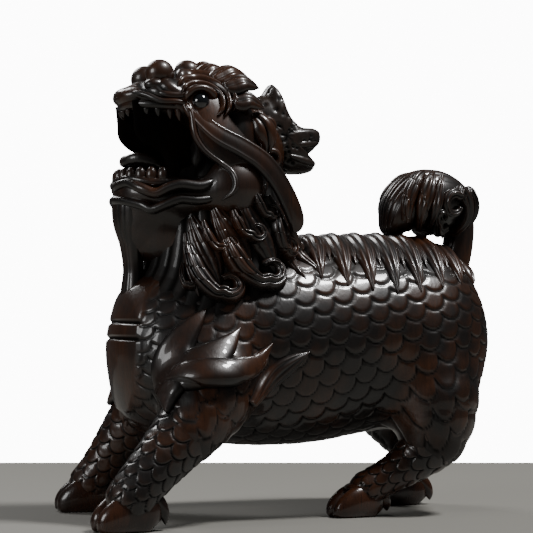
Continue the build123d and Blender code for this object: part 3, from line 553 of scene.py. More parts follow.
def hardwood(name, stain_and_shade_colour, middle, high, roughness, coat, pits=0.0):
    """Close-grained hardwood, cut by hand, stained and lacquered.

    That gives the eye cuts that are almost black and dull, because stain gathers there and no cloth gets
    in, redder and glossier wood on what stands out and is worn, and fine upright grain and pores. The same
    near-black, dull colour is also painted in as shade inside the mouth, under the belly and under the crest.
    """
    material = bpy.data.materials.new(name)
    material.use_nodes = True
    tree = material.node_tree
    place = node(tree, "ShaderNodeTexCoord", {}, gives="Object")
    stain_and_shade = node(tree, "ShaderNodeAttribute", {}, gives="Fac", attribute_name="stain_and_shade")
    worn = node(tree, "ShaderNodeAttribute", {}, gives="Fac", attribute_name="worn")
    waves = []
    for size, upright, detail, rough in WOOD_PATTERNS:
        scale = 1 / (size * MM)
        mapped = node(tree, MAPPING, {"Vector": place, "Scale": (scale, scale, upright * scale)})
        waves.append(node(tree, NOISE, {"Vector": mapped, "Scale": 1.0, "Detail": detail, "Roughness": rough},
                          gives="Fac"))
    patches, grain, pores = waves

    # From the stained colour to the worn one, then darker in the grain, the pores and the cuts, and where
    # shade is painted in
    blotches = node(tree, RANGE, {0: patches, 1: 0.44, 2: 0.66})
    wear = node(tree, MATH, {0: worn, 1: 0.55}, operation="MULTIPLY")
    rub = node(tree, MATH, {0: blotches, 1: wear}, operation="ADD")
    share = node(tree, RANGE, {0: rub, 1: 0.1, 2: 1.0})
    colour = node(tree, MIX, {0: share, 6: linear(middle), 7: linear(high)}, gives=2, data_type="RGBA")
    darker = ((grain, 0.35, 0.75, 0.5), (pores, 0.60, 0.72, 0.5), (stain_and_shade, 0.1, 0.8, 0.92))
    for pattern, low, top, most in darker:
        share = node(tree, RANGE, {0: pattern, 1: low, 2: top, 3: 0.0, 4: most})
        colour = node(tree, MIX, {0: share, 6: colour, 7: linear(stain_and_shade_colour)}, gives=2, data_type="RGBA")

    sheen = node(tree, RANGE, {0: patches, 1: 0.3, 2: 0.7, 3: roughness + 0.08, 4: roughness - 0.06})
    dull = node(tree, RANGE, {0: stain_and_shade, 1: 0.3, 2: 1.0, 3: 0.0, 4: 0.34})
    lines = node(tree, MATH, {0: grain, 1: 0.5}, operation="MULTIPLY")
    dots = node(tree, MATH, {0: pores, 1: 0.35}, operation="MULTIPLY")
    bumps = node(tree, MATH, {0: lines, 1: dots}, operation="ADD")
    if pits:
        scale = 1 / (PUNCH_MARK * MM)
        mapped = node(tree, MAPPING, {"Vector": place, "Scale": (scale, scale, scale)})
        cells = node(tree, "ShaderNodeTexVoronoi", {"Vector": mapped, "Scale": 1.0}, gives="Distance")
        dents = node(tree, RANGE, {0: cells, 1: 0.1, 2: 0.5})
        marks = node(tree, MATH, {0: dents, 1: pits}, operation="MULTIPLY")
        bumps = node(tree, MATH, {0: bumps, 1: marks}, operation="ADD")
    feed(tree, tree.nodes["Principled BSDF"], {
        "Base Color": colour,
        "Roughness": node(tree, MATH, {0: sheen, 1: dull}, operation="ADD"),
        "Coat Weight": node(tree, RANGE, {0: stain_and_shade, 1: 0.2, 2: 0.9, 3: coat, 4: 0.0}),
        "Coat Roughness": 0.07,
        "Specular IOR Level": node(tree, RANGE, {0: stain_and_shade, 1: 0.4, 2: 1.0, 3: 0.42, 4: 0.05}),
        "Normal": node(tree, "ShaderNodeBump", {"Height": bumps, "Strength": 0.35, "Distance": 0.1 * MM}),
    })
    return material


def black_bead():
    """Opaque black glass, moulded and fire-polished: one small hard highlight on an even black."""
    material = bpy.data.materials.new("black_glass")
    material.use_nodes = True
    tree = material.node_tree
    place = node(tree, "ShaderNodeTexCoord", {}, gives="Object")
    scale = 1 / (GLASS_CLOUD * MM)
    mapped = node(tree, MAPPING, {"Vector": place, "Scale": (scale, scale, scale)})
    haze = node(tree, NOISE, {"Vector": mapped, "Scale": 1.0, "Detail": 3.0, "Roughness": 0.5}, gives="Fac")
    black, grey = linear("#07080a"), linear("#14161a")
    feed(tree, tree.nodes["Principled BSDF"], {
        "Base Color": node(tree, MIX, {0: haze, 6: black, 7: grey}, gives=2, data_type="RGBA"),
        "Roughness": node(tree, RANGE, {0: haze, 1: 0.3, 2: 0.7, 3: 0.05, 4: 0.12}),
        "Coat Weight": 1.0,
    })
    return material


# Each has a colour for its cuts and painted shade, for the stained wood and for the worn wood, then a
# roughness and a coat.
# Carved wood under a thin lacquer: a soft, broken sheen
carved = hardwood("stained_hardwood", "#040302", "#0f0907", "#3c2110", 0.36, 0.50)
# Wood punched all over, where lacquer sinks in: greyer, grainy and almost without highlights
pitted = hardwood("pitted_hardwood", "#050404", "#15100d", "#2c2019", 0.42, 0.25, pits=0.9)
# Wood rubbed smooth before it was lacquered: the tightest highlights on the wood
polished = hardwood("polished_hardwood", "#060403", "#180e0a", "#3c2214", 0.26, 0.45)
bead = black_bead()


# Forms shared with the solids: rows of x, z, width and depth, each a share of the whole

TORSO_SHARES = [
    (-0.398, 0.365, 0.16, 0.18), (-0.387, 0.365, 0.37, 0.42), (-0.365, 0.363, 0.60, 0.63),
    (-0.317, 0.362, 0.78, 0.78), (-0.200, 0.377, 0.93, 0.925), (-0.067, 0.383, 0.99, 1.00),
    (0.067, 0.387, 1.00, 1.00), (0.200, 0.400, 0.985, 0.965), (0.333, 0.405, 0.96, 0.925),
    (0.422, 0.400, 0.80, 0.76), (0.465, 0.396, 0.56, 0.52), (0.485, 0.393, 0.34, 0.30),
    (0.493, 0.390, 0.16, 0.14),
]
HEAD_SHARES = [
    (-0.396, 0.924, 0.10, 0.07), (-0.386, 0.924, 0.30, 0.14), (-0.342, 0.922, 0.57, 0.26),
    (-0.283, 0.912, 0.78, 0.42), (-0.242, 0.887, 0.89, 0.65), (-0.200, 0.862, 0.96, 0.86),
    (-0.140, 0.843, 0.97, 0.94), (-0.095, 0.832, 0.80, 0.80), (-0.050, 0.820, 0.58, 0.62),
    (-0.020, 0.815, 0.38, 0.42), (0.000, 0.812, 0.20, 0.24),
]
MOUTH_SHARES = [
    (-0.430, 0.820, 1.00, 1.00), (-0.340, 0.820, 1.00, 0.96), (-0.285, 0.818, 0.94, 0.90),
    (-0.240, 0.812, 0.74, 0.76), (-0.195, 0.803, 0.42, 0.46),
]
JAW_SHARES = [
    (-0.392, 0.716, 0.14, 0.24), (-0.380, 0.711, 0.38, 0.46), (-0.345, 0.704, 0.60, 0.64),
    (-0.300, 0.700, 0.75, 0.74), (-0.233, 0.704, 0.93, 0.86), (-0.167, 0.718, 1.00, 1.00),
    (-0.110, 0.730, 0.92, 0.84), (-0.075, 0.735, 0.70, 0.52),
]
NECK_PATH = spots([(-0.175, 0, 0.40), (-0.150, 0, 0.51), (-0.142, 0, 0.62), (-0.146, 0, 0.71),
                   (-0.142, 0, 0.77)])
LEGS = {
    "foreleg_left": spots([(-0.190, -0.160, 0.350), (-0.233, -0.335, 0.275), (-0.300, -0.402, 0.203),
                           (-0.365, -0.440, 0.140), (-0.410, -0.452, 0.093), (-0.428, -0.452, 0.066)]),
    "foreleg_right": spots([(-0.190, 0.160, 0.342), (-0.233, 0.320, 0.267), (-0.288, 0.388, 0.193),
                            (-0.332, 0.434, 0.127), (-0.362, 0.460, 0.083), (-0.376, 0.466, 0.062)]),
    "hindleg_left": spots([(0.305, -0.150, 0.370), (0.315, -0.270, 0.255), (0.307, -0.285, 0.180),
                           (0.272, -0.276, 0.133), (0.224, -0.260, 0.100), (0.182, -0.242, 0.075),
                           (0.157, -0.232, 0.060)]),
    "hindleg_right": spots([(0.325, 0.150, 0.367), (0.350, 0.268, 0.250), (0.377, 0.278, 0.190),
                            (0.392, 0.265, 0.138), (0.387, 0.245, 0.100), (0.372, 0.230, 0.074),
                            (0.362, 0.226, 0.058)]),
}
FORELEG_RADII = 6.0 * np.array([1.00, 0.89, 0.70, 0.57, 0.515, 0.53])
HINDLEG_RADII = 7.3 * np.array([0.92, 0.81, 0.62, 0.445, 0.35, 0.32, 0.335])

trunk = sections(TORSO_SHARES, 24.6, 27.2)
skull = sections(HEAD_SHARES, 17.2, 15.6)
mouth = sections(MOUTH_SHARES, 16.4, 8.2)
jaw = sections(JAW_SHARES, 17.6, 9.0)
neck_core = tube(NECK_PATH, 10.3 * np.array([1.12, 1.06, 0.97, 0.89, 0.76]), squash=0.90)


def leg_radii(name):
    """Radii along a leg's path."""
    return FORELEG_RADII if name.startswith("fore") else HINDLEG_RADII


def leg_root(name):
    """The swelling of the trunk that a leg grows out of, a little fuller than the leg itself."""
    return tube(LEGS[name][:3], leg_radii(name)[:3] + 0.2, pieces=5)


body = join(3.0, trunk, *[leg_root(name) for name in LEGS])
flesh = join(1.5, body, neck_core)
legged = join(2.0, body, *[tube(LEGS[name], leg_radii(name)) for name in LEGS])


# Laying 2-D places onto the forms

# The line that the trunk's rays start from; the radius in mm that makes an angle on the back a length
TRUNK_LINE = np.array([(-19, 0, 22.5), (0, 0, 23.3), (25, 0, 24)])
BACK_RADIUS = 13.0


def landed(field, start, way):
    """Where rays from outside land on a form, and its normals there.

    Each ray goes on by 0.9 of the field's distance, 36 times over, at most 6 mm on or 2 mm back at a time
    and 24 mm in all. A normal is the field's slope, from its values 0.06 mm to either side.
    """
    back, ahead, farthest, aside = 2, 6, 24, 0.06
    reach = np.zeros(start.shape[:-1])
    for _ in range(36):
        step = np.clip(field(start + reach[..., None] * way), -back, ahead)
        reach = np.clip(reach + 0.9 * step, 0, farthest)
    place = start + reach[..., None] * way
    steps = aside * np.eye(3)
    slope = np.stack([field(place + step) - field(place - step) for step in steps], -1)
    return place, unit(slope)


def flank(field, side, middle, plane=9.5, fan=0.06):
    """2-D places x and z on a plane beside the statue, laid on it by rays.

    The rays lean by the slope fan for each mm that x is away from middle.
    """
    def surface(a, b):
        way = unit(np.stack([-fan * (a - middle), np.full_like(a, -side), np.zeros_like(a)], -1))
        target = np.stack([a, np.full_like(a, side * plane), b], -1)
        stand_off = 13
        return landed(field, target - stand_off * way, way)
    return surface


def spine(side):
    """2-D places laid on the back: x, and the distance down from the spine on one side."""
    def surface(a, b):
        turn = b / BACK_RADIUS
        way = np.stack([np.zeros_like(a), -side * np.sin(turn), -np.cos(turn)], -1)
        middle = np.stack([a, 0 * a, TRUNK_LINE[-1, 2] + 0 * a], -1)
        stand_off = 21
        return landed(body, middle - stand_off * way, way)
    return surface


# Trunk

def torso_parts():
    """Rays from a line through the trunk; scales run down from the spine, but not over the chest plate.

    The rays crowd at the front pole, so the first rows there are evened out.
    """
    grid = cast(body, TRUNK_LINE, 178, 312, 60)
    front, turns = 44, 120
    for axis in range(3):
        grid[:front, :, axis] = evened(grid[:front, :, axis], turns)
    x, y, z = np.moveaxis(grid, -1, 0)
    line_x, line_z = TRUNK_LINE[:, 0], TRUNK_LINE[:, 2]
    reach = np.stack([x - np.clip(x, line_x[0], line_x[-1]), 1.1 * y, z - np.interp(x, line_x, line_z)], -1)
    down = BACK_RADIUS * np.arccos(np.clip(unit(reach)[..., 2], -1, 1))
    along = length_along(grid[:, 0])[:, None] + 0 * down
    lean = math.radians(24)
    a = down * math.cos(lean) + along * math.sin(lean)
    b = along * math.cos(lean) - down * math.sin(lean)
    # The chest plate is half as broad as this at each height, and has two cuts across it
    breadth = np.interp(z, [13.6, 14.6, 17, 22, 27, 31.5], [0, 3.2, 5.4, 6.4, 6.2, 4.6])
    plate = smooth(-12.5, -14, x) * smooth(0.35, -0.35, np.abs(y - MIDDLE) - breadth) * smooth(13.6, 14.6, z)
    height, groove = scales(a, b)
    relief = (0.11 * (height - 0.5) - 0.17 * groove) * (1 - plate)
    cuts = np.zeros_like(x)
    for level in (25.9, 23.8):
        line = z - level + 0.03 * np.abs(y)
        cuts = np.maximum(cuts, np.exp(-(line / 0.26) ** 2) * plate)
    grid = raised(grid, relief - 0.4 * cuts + 0.28 * plate)
    # Painted shade: the wood is darkened towards the belly, and under the crest near the spine
    stain_and_shade = np.maximum(0.9 * groove * (1 - plate), cuts)
    stain_and_shade = np.maximum(stain_and_shade, smooth(14.5, 8.5, z) * 0.55)
    stain_and_shade = np.maximum(stain_and_shade, 0.7 * smooth(13.5, 11, down) * smooth(-1, 2, x))
    worn = np.clip(height - 0.55, 0, 1) * 1.4 * (1 - groove) * (1 - plate) + 0.75 * plate
    return [part(grid, stain_and_shade, worn)]


def leg_parts(name):
    """Rays from the leg's own path; nine scales to a round, so they are narrower towards the hoof."""
    path, radii = LEGS[name], leg_radii(name)
    around, scales_round, squeeze = 150, 9, 0.8
    grid = cast(tube(path, radii), path[:-1], 150, around, 22)
    along = length_along(grid.mean(1))[:, None] + 0 * grid[..., 0]
    across = np.arange(around) / around * scales_round * SCALE_WIDTH + 0 * along
    return [carve_scales(grid, along / squeeze, across, 0.16, 0.15 + 0.85 * smooth(3, 11, along))]


# Neck and mane

def neck_parts():
    """Rays from the neck's path, with upright strands cut in its skin."""
    form = within(without(join(2.0, neck_core, swollen(body, -0.4)), mouth), swollen(neck_core, 2.0))
    around, hairs = 260, 34
    grid = cast(form, NECK_PATH, 110, around, 34)
    turn = full_turn(around)
    wave = 0.5 + 0.5 * np.cos(hairs * turn + 0.5 * np.sin(np.arange(len(grid)) / 17)[:, None])
    grid = raised(grid, -0.16 * wave ** 3)
    # Painted shade: the whole neck is darkened as under the head and jaw, and fully where it reaches into the
    # mouth; the grooves between its strands are darker still with stain
    inside = smooth(41.5, 44, grid[..., 2])
    return [part(grid, np.maximum(0.62 + 0.38 * wave ** 3, inside), 0.2 * (1 - wave) * (1 - inside))]


# Locks of the mane: lead-in rows of x, z and half width, the spiral's centre and radius, strands and height
MANE = [
    (((-18.0, 37.4, 0.8), (-17.4, 35.0, 1.3), (-16.6, 32.2, 1.3), (-15.6, 29.0, 0.1)), None, 0, 3, 0.9),
    (((-17.2, 39.4, 0.9), (-15.6, 36.4, 2.0), (-14.0, 33.4, 1.9), (-12.6, 30.0, 0.1)), None, 0, 4, 1.0),
    (((-13.4, 40.6, 0.9), (-11.8, 37.6, 2.0), (-10.2, 34.4, 2.0), (-9.0, 30.6, 0.1)), None, 0, 4, 1.0),
    (((-9.4, 41.6, 0.9), (-7.8, 38.6, 2.0), (-6.2, 35.6, 2.0), (-4.8, 31.8, 0.1)), None, 0, 4, 1.0),
    (((-5.6, 42.4, 0.9), (-4.0, 39.4, 2.0), (-2.4, 36.2, 2.0), (-1.0, 31.4, 0.1)), None, 0, 4, 1.0),
    (((-2.4, 41.6, 0.8), (-0.8, 38.6, 1.8), (0.6, 35.6, 1.6), (2.0, 32.2, 0.1)), None, 0, 3, 0.9),
    (((-17.4, 35.6, 0.9), (-16.4, 33.4, 1.5), (-15.2, 31.3, 1.5), (-13.4, 29.5, 1.15)),
     (-11.6, 30.4), 2.45, 3, 1.9),
    (((-11.9, 36.6, 0.9), (-11.0, 34.4, 1.6), (-9.7, 32.4, 1.6), (-7.9, 31.0, 1.2)),
     (-5.9, 32.3), 2.7, 3, 2.1),
    (((-11.0, 40.2, 0.5), (-10.4, 38.6, 0.8), (-9.6, 37.2, 0.75)), (-7.9, 37.4), 1.75, 2, 2.0),
    (((-8.0, 42.6, 0.5), (-7.5, 41.2, 0.75), (-6.8, 39.9, 0.7)), (-5.3, 40.1), 1.55, 2, 1.8),
    (((-4.6, 40.0, 0.6), (-4.7, 37.9, 1.0), (-4.1, 35.8, 0.95)), (-2.0, 35.6), 2.15, 3, 1.9),
    (((-15.0, 38.8, 0.5), (-14.3, 37.0, 0.8), (-13.2, 35.4, 0.75)), (-11.5, 35.8), 1.75, 2, 1.8),
    (((-18.2, 33.4, 0.4), (-18.3, 31.8, 0.65), (-17.8, 30.5, 0.6)), (-16.7, 30.9), 1.25, 2, 1.2),
    (((-1.6, 39.4, 0.5), (-1.0, 37.4, 0.8), (-0.1, 35.9, 0.7)), (1.3, 36.0), 1.5, 2, 1.4),
]


def mane_parts(side):
    """Locks laid on the neck and shoulder, each running down and hooking up round its eye."""
    surface = flank(flesh, side, -8.5)
    parts = []
    for lead, centre, radius, count, height in MANE:
        path = np.array(lead, float)
        if centre:
            start = math.degrees(math.atan2(lead[-1][1] - centre[1], lead[-1][0] - centre[0])) + 24
            path = curl_path(lead, centre, radius, 0.30 * radius, lead[-1][2], 0.20 * radius, start, 0.74)
        parts.append(lock(surface, path, height, count, rows=110, around=54, sink=0.7))
    return parts


# Crest and flames

# How far down each lock of the crest reaches in mm, where the first one is, and how far apart they are
CREST_REACH = [12.0, 13.2, 14.0, 14.4, 14.2, 13.4, 12.0, 9.2]
CREST_START, CREST_STEP = 1.4, 3.5


def crest_parts():
    """Pointed locks in a row down each side of the spine, with a smaller one between each two."""
    parts = []
    for side in (LEFT, RIGHT):
        surface = spine(side)
        for index, reach in enumerate(CREST_REACH):
            x, lean = CREST_START + CREST_STEP * index, 1.7 - 0.2 * index
            path = [(x + 1.15 * lean, -1.2, 1.2), (x + lean, 0.16 * reach, 1.85),
                    (x + 0.6 * lean, 0.45 * reach, 1.7), (x + 0.2 * lean, 0.75 * reach, 1.0),
                    (x, reach, 0.05)]
            parts.append(lock(surface, path, 1.4, 3, rows=90, around=48, sink=0.6))
            x += CREST_STEP / 2
            path = [(x + lean, -0.8, 0.6), (x + 0.8 * lean, 0.25 * reach, 0.8),
                    (x + 0.5 * lean, 0.5 * reach, 0.65), (x + 0.2 * lean, 0.72 * reach, 0.05)]
            parts.append(lock(surface, path, 0.8, 2, rows=50, around=36, sink=0.6))
    return parts


# Tongues of the flame: rows of x, z and half width, strands, height and how square the shoulders are
FLAMES = [
    ([(-21.0, 14.6, 0.1), (-20.8, 16.8, 1.3), (-20.3, 19.3, 2.5), (-19.7, 21.4, 2.5),
      (-18.8, 23.2, 2.0), (-17.5, 24.7, 1.5), (-16.1, 26.2, 0.9), (-14.8, 27.6, 0.05)], 1, 1.1, 6),
    ([(-19.5, 18.4, 1.2), (-17.0, 19.9, 2.4), (-14.9, 21.4, 2.0), (-13.2, 22.7, 1.4),
      (-12.0, 23.8, 0.8), (-10.8, 25.1, 0.05)], 1, 1.15, 6),
    ([(-21.4, 17.8, 0.5), (-19.0, 18.9, 1.3), (-16.5, 19.3, 1.7), (-13.5, 19.4, 1.7),
      (-11.2, 19.8, 1.5), (-9.3, 20.6, 1.15), (-7.9, 21.8, 0.7), (-6.6, 23.2, 0.05)], 1, 1.45, 6),
    ([(-10.0, 15.2, 0.5), (-7.8, 17.4, 1.4), (-5.5, 19.4, 1.6), (-3.6, 20.8, 1.1),
      (-1.7, 22.0, 0.05)], 4, 0.9, 2),
]


def flame_parts(side):
    """Smooth tongues over the shoulder and a grooved fan behind the elbow."""
    surface = flank(legged, side, -12, plane=11.5, fan=0.03)
    return [lock(surface, path, height, count, rows=100, around=54, sink=0.6, square=square)
            for path, count, height, square in FLAMES]


# Head

# The middle of an eye bead, and how many small teeth stand in each jaw
EYE = spots([(-0.240, 0.232, 0.906)])[0]
TEETH = 11

# Outlines in x and z: the wood left uncarved inside each cheek, and the folded skin at the mouth's corner
CHEEK_WALL = [(-22.9, 54.6), (-22.6, 52.2), (-22.3, 50.4), (-21.0, 49.0), (-18.9, 47.8), (-17.8, 45.8),
              (-16.5, 43.8), (-12.0, 42.8), (-11.0, 47.0), (-11.0, 51.0), (-11.5, 54.8), (-17.0, 55.2)]
MOUTH_CORNER = [(-15.9, 48.4), (-15.4, 46.4), (-14.6, 44.6), (-13.4, 43.2), (-11.6, 42.8),
                (-10.0, 43.8), (-9.6, 46.4), (-10.6, 49.0), (-13.0, 50.6), (-15.0, 50.2)]
# Paths given for one side: the flap behind the mouth, its edge, the wrinkle beside the nose, lips and gums
CHEEK_FLAP = [(-13.9, 6.4, 55.4), (-13.2, 7.3, 52.7), (-12.5, 7.9, 50.4), (-11.1, 8.2, 48.4),
              (-9.5, 8.3, 46.8), (-8.6, 8.1, 44.6)]
FLAP_EDGE = [(-16.4, 6.2, 55.0), (-16.1, 7.3, 52.6), (-15.8, 7.9, 49.9), (-14.6, 8.3, 47.9),
             (-12.6, 8.6, 46.4), (-11.4, 9.5, 45.2), (-11.0, 10.1, 43.8), (-11.3, 10.0, 42.6),
             (-12.6, 9.1, 41.4)]
NOSE_WRINKLE = [(-15.6, 6.6, 55.7), (-17.2, 6.3, 55.2), (-19.0, 5.7, 55.3), (-21.0, 4.3, 56.2)]
UPPER_LIP = [(-15.4, 6.9, 53.9), (-17.6, 6.5, 54.3), (-19.6, 5.7, 54.4), (-21.2, 4.3, 55.3),
             (-22.2, 2.9, 55.6), (-23.1, 1.3, 55.2), (-23.6, 0.0, 55.1)]
UPPER_GUM = [(-15.6, 5.4, 53.8), (-18.0, 5.2, 53.9), (-20.6, 4.2, 54.1), (-22.2, 2.4, 54.3),
             (-22.9, 0.0, 54.2)]
LOWER_LIP = [(-11.8, 7.4, 44.6), (-13.4, 8.0, 44.0), (-15.2, 8.1, 43.3), (-17.4, 7.4, 43.5),
             (-18.9, 6.7, 43.1), (-20.4, 5.9, 42.4), (-22.0, 4.7, 43.1), (-22.9, 2.8, 43.9),
             (-23.5, 1.2, 43.8), (-23.7, 0.0, 43.6)]
CHIN_FOLD = [(-11.0, 7.2, 42.4), (-12.6, 7.7, 42.0), (-15.2, 7.8, 41.5), (-17.5, 7.3, 41.6),
             (-19.3, 6.6, 40.9), (-20.7, 5.7, 40.3), (-21.7, 4.7, 40.9), (-22.8, 2.9, 41.4),
             (-23.6, 1.2, 41.7), (-23.9, 0.0, 41.8)]
LOWER_GUM = [(-14.6, 5.4, 44.2), (-17.4, 5.3, 44.0), (-20.4, 4.6, 43.9), (-22.4, 2.8, 44.4),
             (-23.2, 0.0, 44.4)]


def tooth(place, length, radius, lean):
    """A small pointed tooth; a negative length points down."""
    x, y, z = place
    path = [(x, y, z), (x + lean * 0.3, y, z + 0.5 * length), (x + lean, y, z + length)]
    halves = [radius, radius * 0.8, 0.08]
    return strand(path, halves, halves, (1, 0, 0), rows=14, around=14)


def upper_teeth():
    """Teeth along a half ellipse behind the lip, longer at its ends, and a fang on each side."""
    teeth = []
    for turn in np.radians(np.linspace(-80, 80, TEETH)):
        place = (-17.3 - 5.6 * math.cos(turn), MIDDLE + 5.3 * math.sin(turn), 53.7)
        longer = 1 + 0.7 * abs(math.sin(turn)) ** 8
        teeth.append(tooth(place, -0.95 * longer, 0.5, 0.15))
    for side in (LEFT, RIGHT):
        teeth.append(tooth(at_side((-17.2, 5.5, 53.6), side), -1.7, 0.55, 0.2))
    return teeth


def skull_part():
    """Rays from a path through the skull, less the mouth, with the bridge and the wings of the nose."""
    bridge = tube(midline((-20.5, 56.0), (-16.0, 56.4), (-12.5, 57.0), (-7.5, 54.6)), [1.4, 1.7, 2.3, 2.0])
    wings = [ball(at_side((-17.6, 4.4, 56.2), side), (2.4, 1.6, 1.5)) for side in (LEFT, RIGHT)]
    form = without(join(1.2, skull, bridge, *wings), mouth)
    grid = cast(form, midline((-21.8, 55.2), (-17.0, 55.2), (-11.0, 53.2), (-4.0, 49.6)), 120, 260, 30)
    x, y, z = np.moveaxis(grid, -1, 0)
    wrinkle = 0.5 + 0.5 * np.cos((x * 0.8 + z * 1.1 + np.abs(y) * 0.6) * 2.4)
    muzzle = smooth(-24, -21, x) * smooth(-15.5, -18, x) * smooth(0.5, 2.5, np.abs(y))
    grid = raised(grid, -0.22 * muzzle * wrinkle ** 2)
    # Painted shade in the roof of the mouth; the muzzle's wrinkles are darkened with stain
    mouth_roof_shade = smooth(54.0, 52.6, z) * smooth(-8, -11, x)
    return part(grid, np.maximum(mouth_roof_shade, muzzle * wrinkle ** 2 * 0.8), 0.3 * (1 - mouth_roof_shade))


def face_parts(side):
    """On each side a nose bulb, a nostril wing, and a round eye socket between two lids."""
    eye = at_side(EYE, side)
    parts = [part(dome(at_side((-18.9, 2.9, 58.4), side), (1.95, 1.8, 1.9)), 0, 1.0),
             part(dome(at_side((-19.9, 4.0, 56.7), side), (1.5, 1.2, 0.9)), 0.3, 0.3),
             part(dome(eye + (0, -side * 0.45, 0), (1.85, 1.0, 1.85)), 0.0, 1.0)]
    for rise, thick in ((1, 0.5), (-1, 0.42)):
        bow = np.linspace(0.1, 3.04, 7)
        lid = [eye + (2.1 * math.cos(t), side * 0.3, rise * 1.85 * math.sin(t)) for t in bow]
        parts.append(strand(lid, tapered(lid, 0.1, thick), [0.2, 0.6, 0.7, 0.7, 0.7, 0.6, 0.2], (0, side, 0),
                            rows=36, around=16))
    return parts


def cheek_parts(side):
    """The flap behind the mouth with its raised edge, the wall and folded corner inside it, and a wrinkle."""
    flap, edge = at_side(CHEEK_FLAP, side), at_side(FLAP_EDGE, side)
    parts = [strand(flap, [2.2, 2.8, 3.0, 2.9, 2.6, 1.8], [0.7, 0.85, 0.9, 0.9, 0.9, 0.6], (0, side, 0.2),
                    rows=90, around=48),
             strand(edge, [0.2] + [0.4] * 7 + [0.1], [0.3] + [0.6] * 7 + [0.2], (0, side, 0),
                    rows=110, around=20)]
    wall = pebble(CHEEK_WALL, (-16.8, side * 3.6 + MIDDLE, 50.4), 0.45, rows=30, around=130, power=0.3)
    x, _, z = np.moveaxis(wall, -1, 0)
    fold = 0.5 + 0.5 * np.cos(1.9 * x + 1.1 * z)
    # Painted shade: the wall inside the cheek takes the darkest, dullest colour all over
    parts.append(part(raised(wall, 0.12 * fold), 1.0, 0))
    corner = pebble(MOUTH_CORNER, (-12.8, side * 6.6 + MIDDLE, 46.4), 0.6, rows=30, around=110, power=0.4)
    x, _, z = np.moveaxis(corner, -1, 0)
    fold = 0.5 + 0.5 * np.cos(3.4 * np.hypot(x + 18.5, z - 48.5))
    # Painted shade in the folded corner of the mouth, a little lighter on the raised folds
    parts.append(part(raised(corner, 0.2 * fold), np.clip(1.1 - 0.5 * fold, 0, 1), 0))
    parts.append(strand(at_side(NOSE_WRINKLE, side), [0.2, 0.5, 0.5, 0.1], [0.3, 0.5, 0.5, 0.2], (0, 0, 1),
                        rows=40, around=20))
    return parts


def head_parts():
    """The skull with its face and cheeks, a knob on the forehead with three ridges, lip, gum and teeth."""
    parts = [skull_part()]
    for side in (LEFT, RIGHT):
        parts += face_parts(side) + cheek_parts(side)
    parts.append(part(dome((-14.0, MIDDLE, 59.2), (1.85, 1.75, 1.75)), 0, 0.9))
    for out in (-0.9, 0.0, 0.9):
        ridge = [(-13.2, out + MIDDLE, 59.8), (-12.0, 1.1 * out + MIDDLE, 60.0),
                 (-10.8, 1.2 * out + MIDDLE, 59.2), (-9.6, 1.3 * out + MIDDLE, 58.0)]
        parts.append(strand(ridge, [0.4, 0.6, 0.6, 0.2], [0.5, 0.8, 0.8, 0.3], (0, 0, 1), rows=36, around=20))
    lip, gum = round_front(UPPER_LIP), round_front(UPPER_GUM)
    parts.append(strand(lip, tapered(lip, 0.3, 0.6), tapered(lip, 0.3, 0.42), (0, 0, 1), rows=130, around=24))
    parts.append(strand(gum, tapered(gum, 0.4, 0.7), tapered(gum, 0.4, 0.6), (0, 0, 1), rows=110, around=24))
    return parts + upper_teeth()


def jaw_parts():
    """Rays from a path along the jaw, with two wavy folds and a gum round its front, and a row of teeth."""
    cheeks = [ball(at_side((-9.9, 6.9, 43.6), side), (3.8, 3.1, 4.1)) for side in (LEFT, RIGHT)]
    throat = tube(midline((-19.6, 39.8), (-17.0, 38.0), (-14.0, 36.6)), [4.0, 5.0, 5.5], pieces=4)
    chin = tube(midline((-19.8, 40.6), (-20.7, 38.4), (-21.1, 36.6), (-21.3, 35.4)), [3.8, 2.9, 2.1, 1.4])
    form = without(join(1.5, jaw, throat, chin, *cheeks), mouth)
    grid = cast(form, midline((-22.6, 42.2), (-18.0, 41.4), (-12.0, 42.0), (-7.0, 43.4)), 110, 240, 24)
    x, y, z = np.moveaxis(grid, -1, 0)
    # Painted shade on the top of the jaw inside the mouth, which also takes no wear
    inside = smooth(43.2, 44.6, z) * (1 - smooth(6.0, 7.2, np.abs(y)))
    cheek = smooth(-14, -11, x) * smooth(6.5, 8.5, np.abs(y))
    parts = [part(grid, 0.7 * inside, 0.5 * (1 - inside) + 0.6 * cheek)]
    for fold, thick in ((LOWER_LIP, 0.7), (CHIN_FOLD, 0.65)):
        path = round_front(fold)
        halves = [0.05] + tapered(path[1:-1], 0.6, 0.8) + [0.05]
        thicks = [0.05] + tapered(path[1:-1], 0.5, thick) + [0.05]
        parts.append(strand(path, halves, thicks, (0, 0, 1), rows=150, around=24))
    gum = round_front(LOWER_GUM)
    parts.append(strand(gum, tapered(gum, 0.5, 1.0), tapered(gum, 0.5, 0.7), (0, 0, 1), rows=110, around=24))
    for turn in np.radians(np.linspace(-75, 75, TEETH)):
        place = (-17.7 - 5.7 * math.cos(turn), MIDDLE + 5.5 * math.sin(turn), 44.8)
        parts.append(part(dome(place, (0.78, 0.78, 1.2), 20, 24), 0.1, 0.6))
    return parts


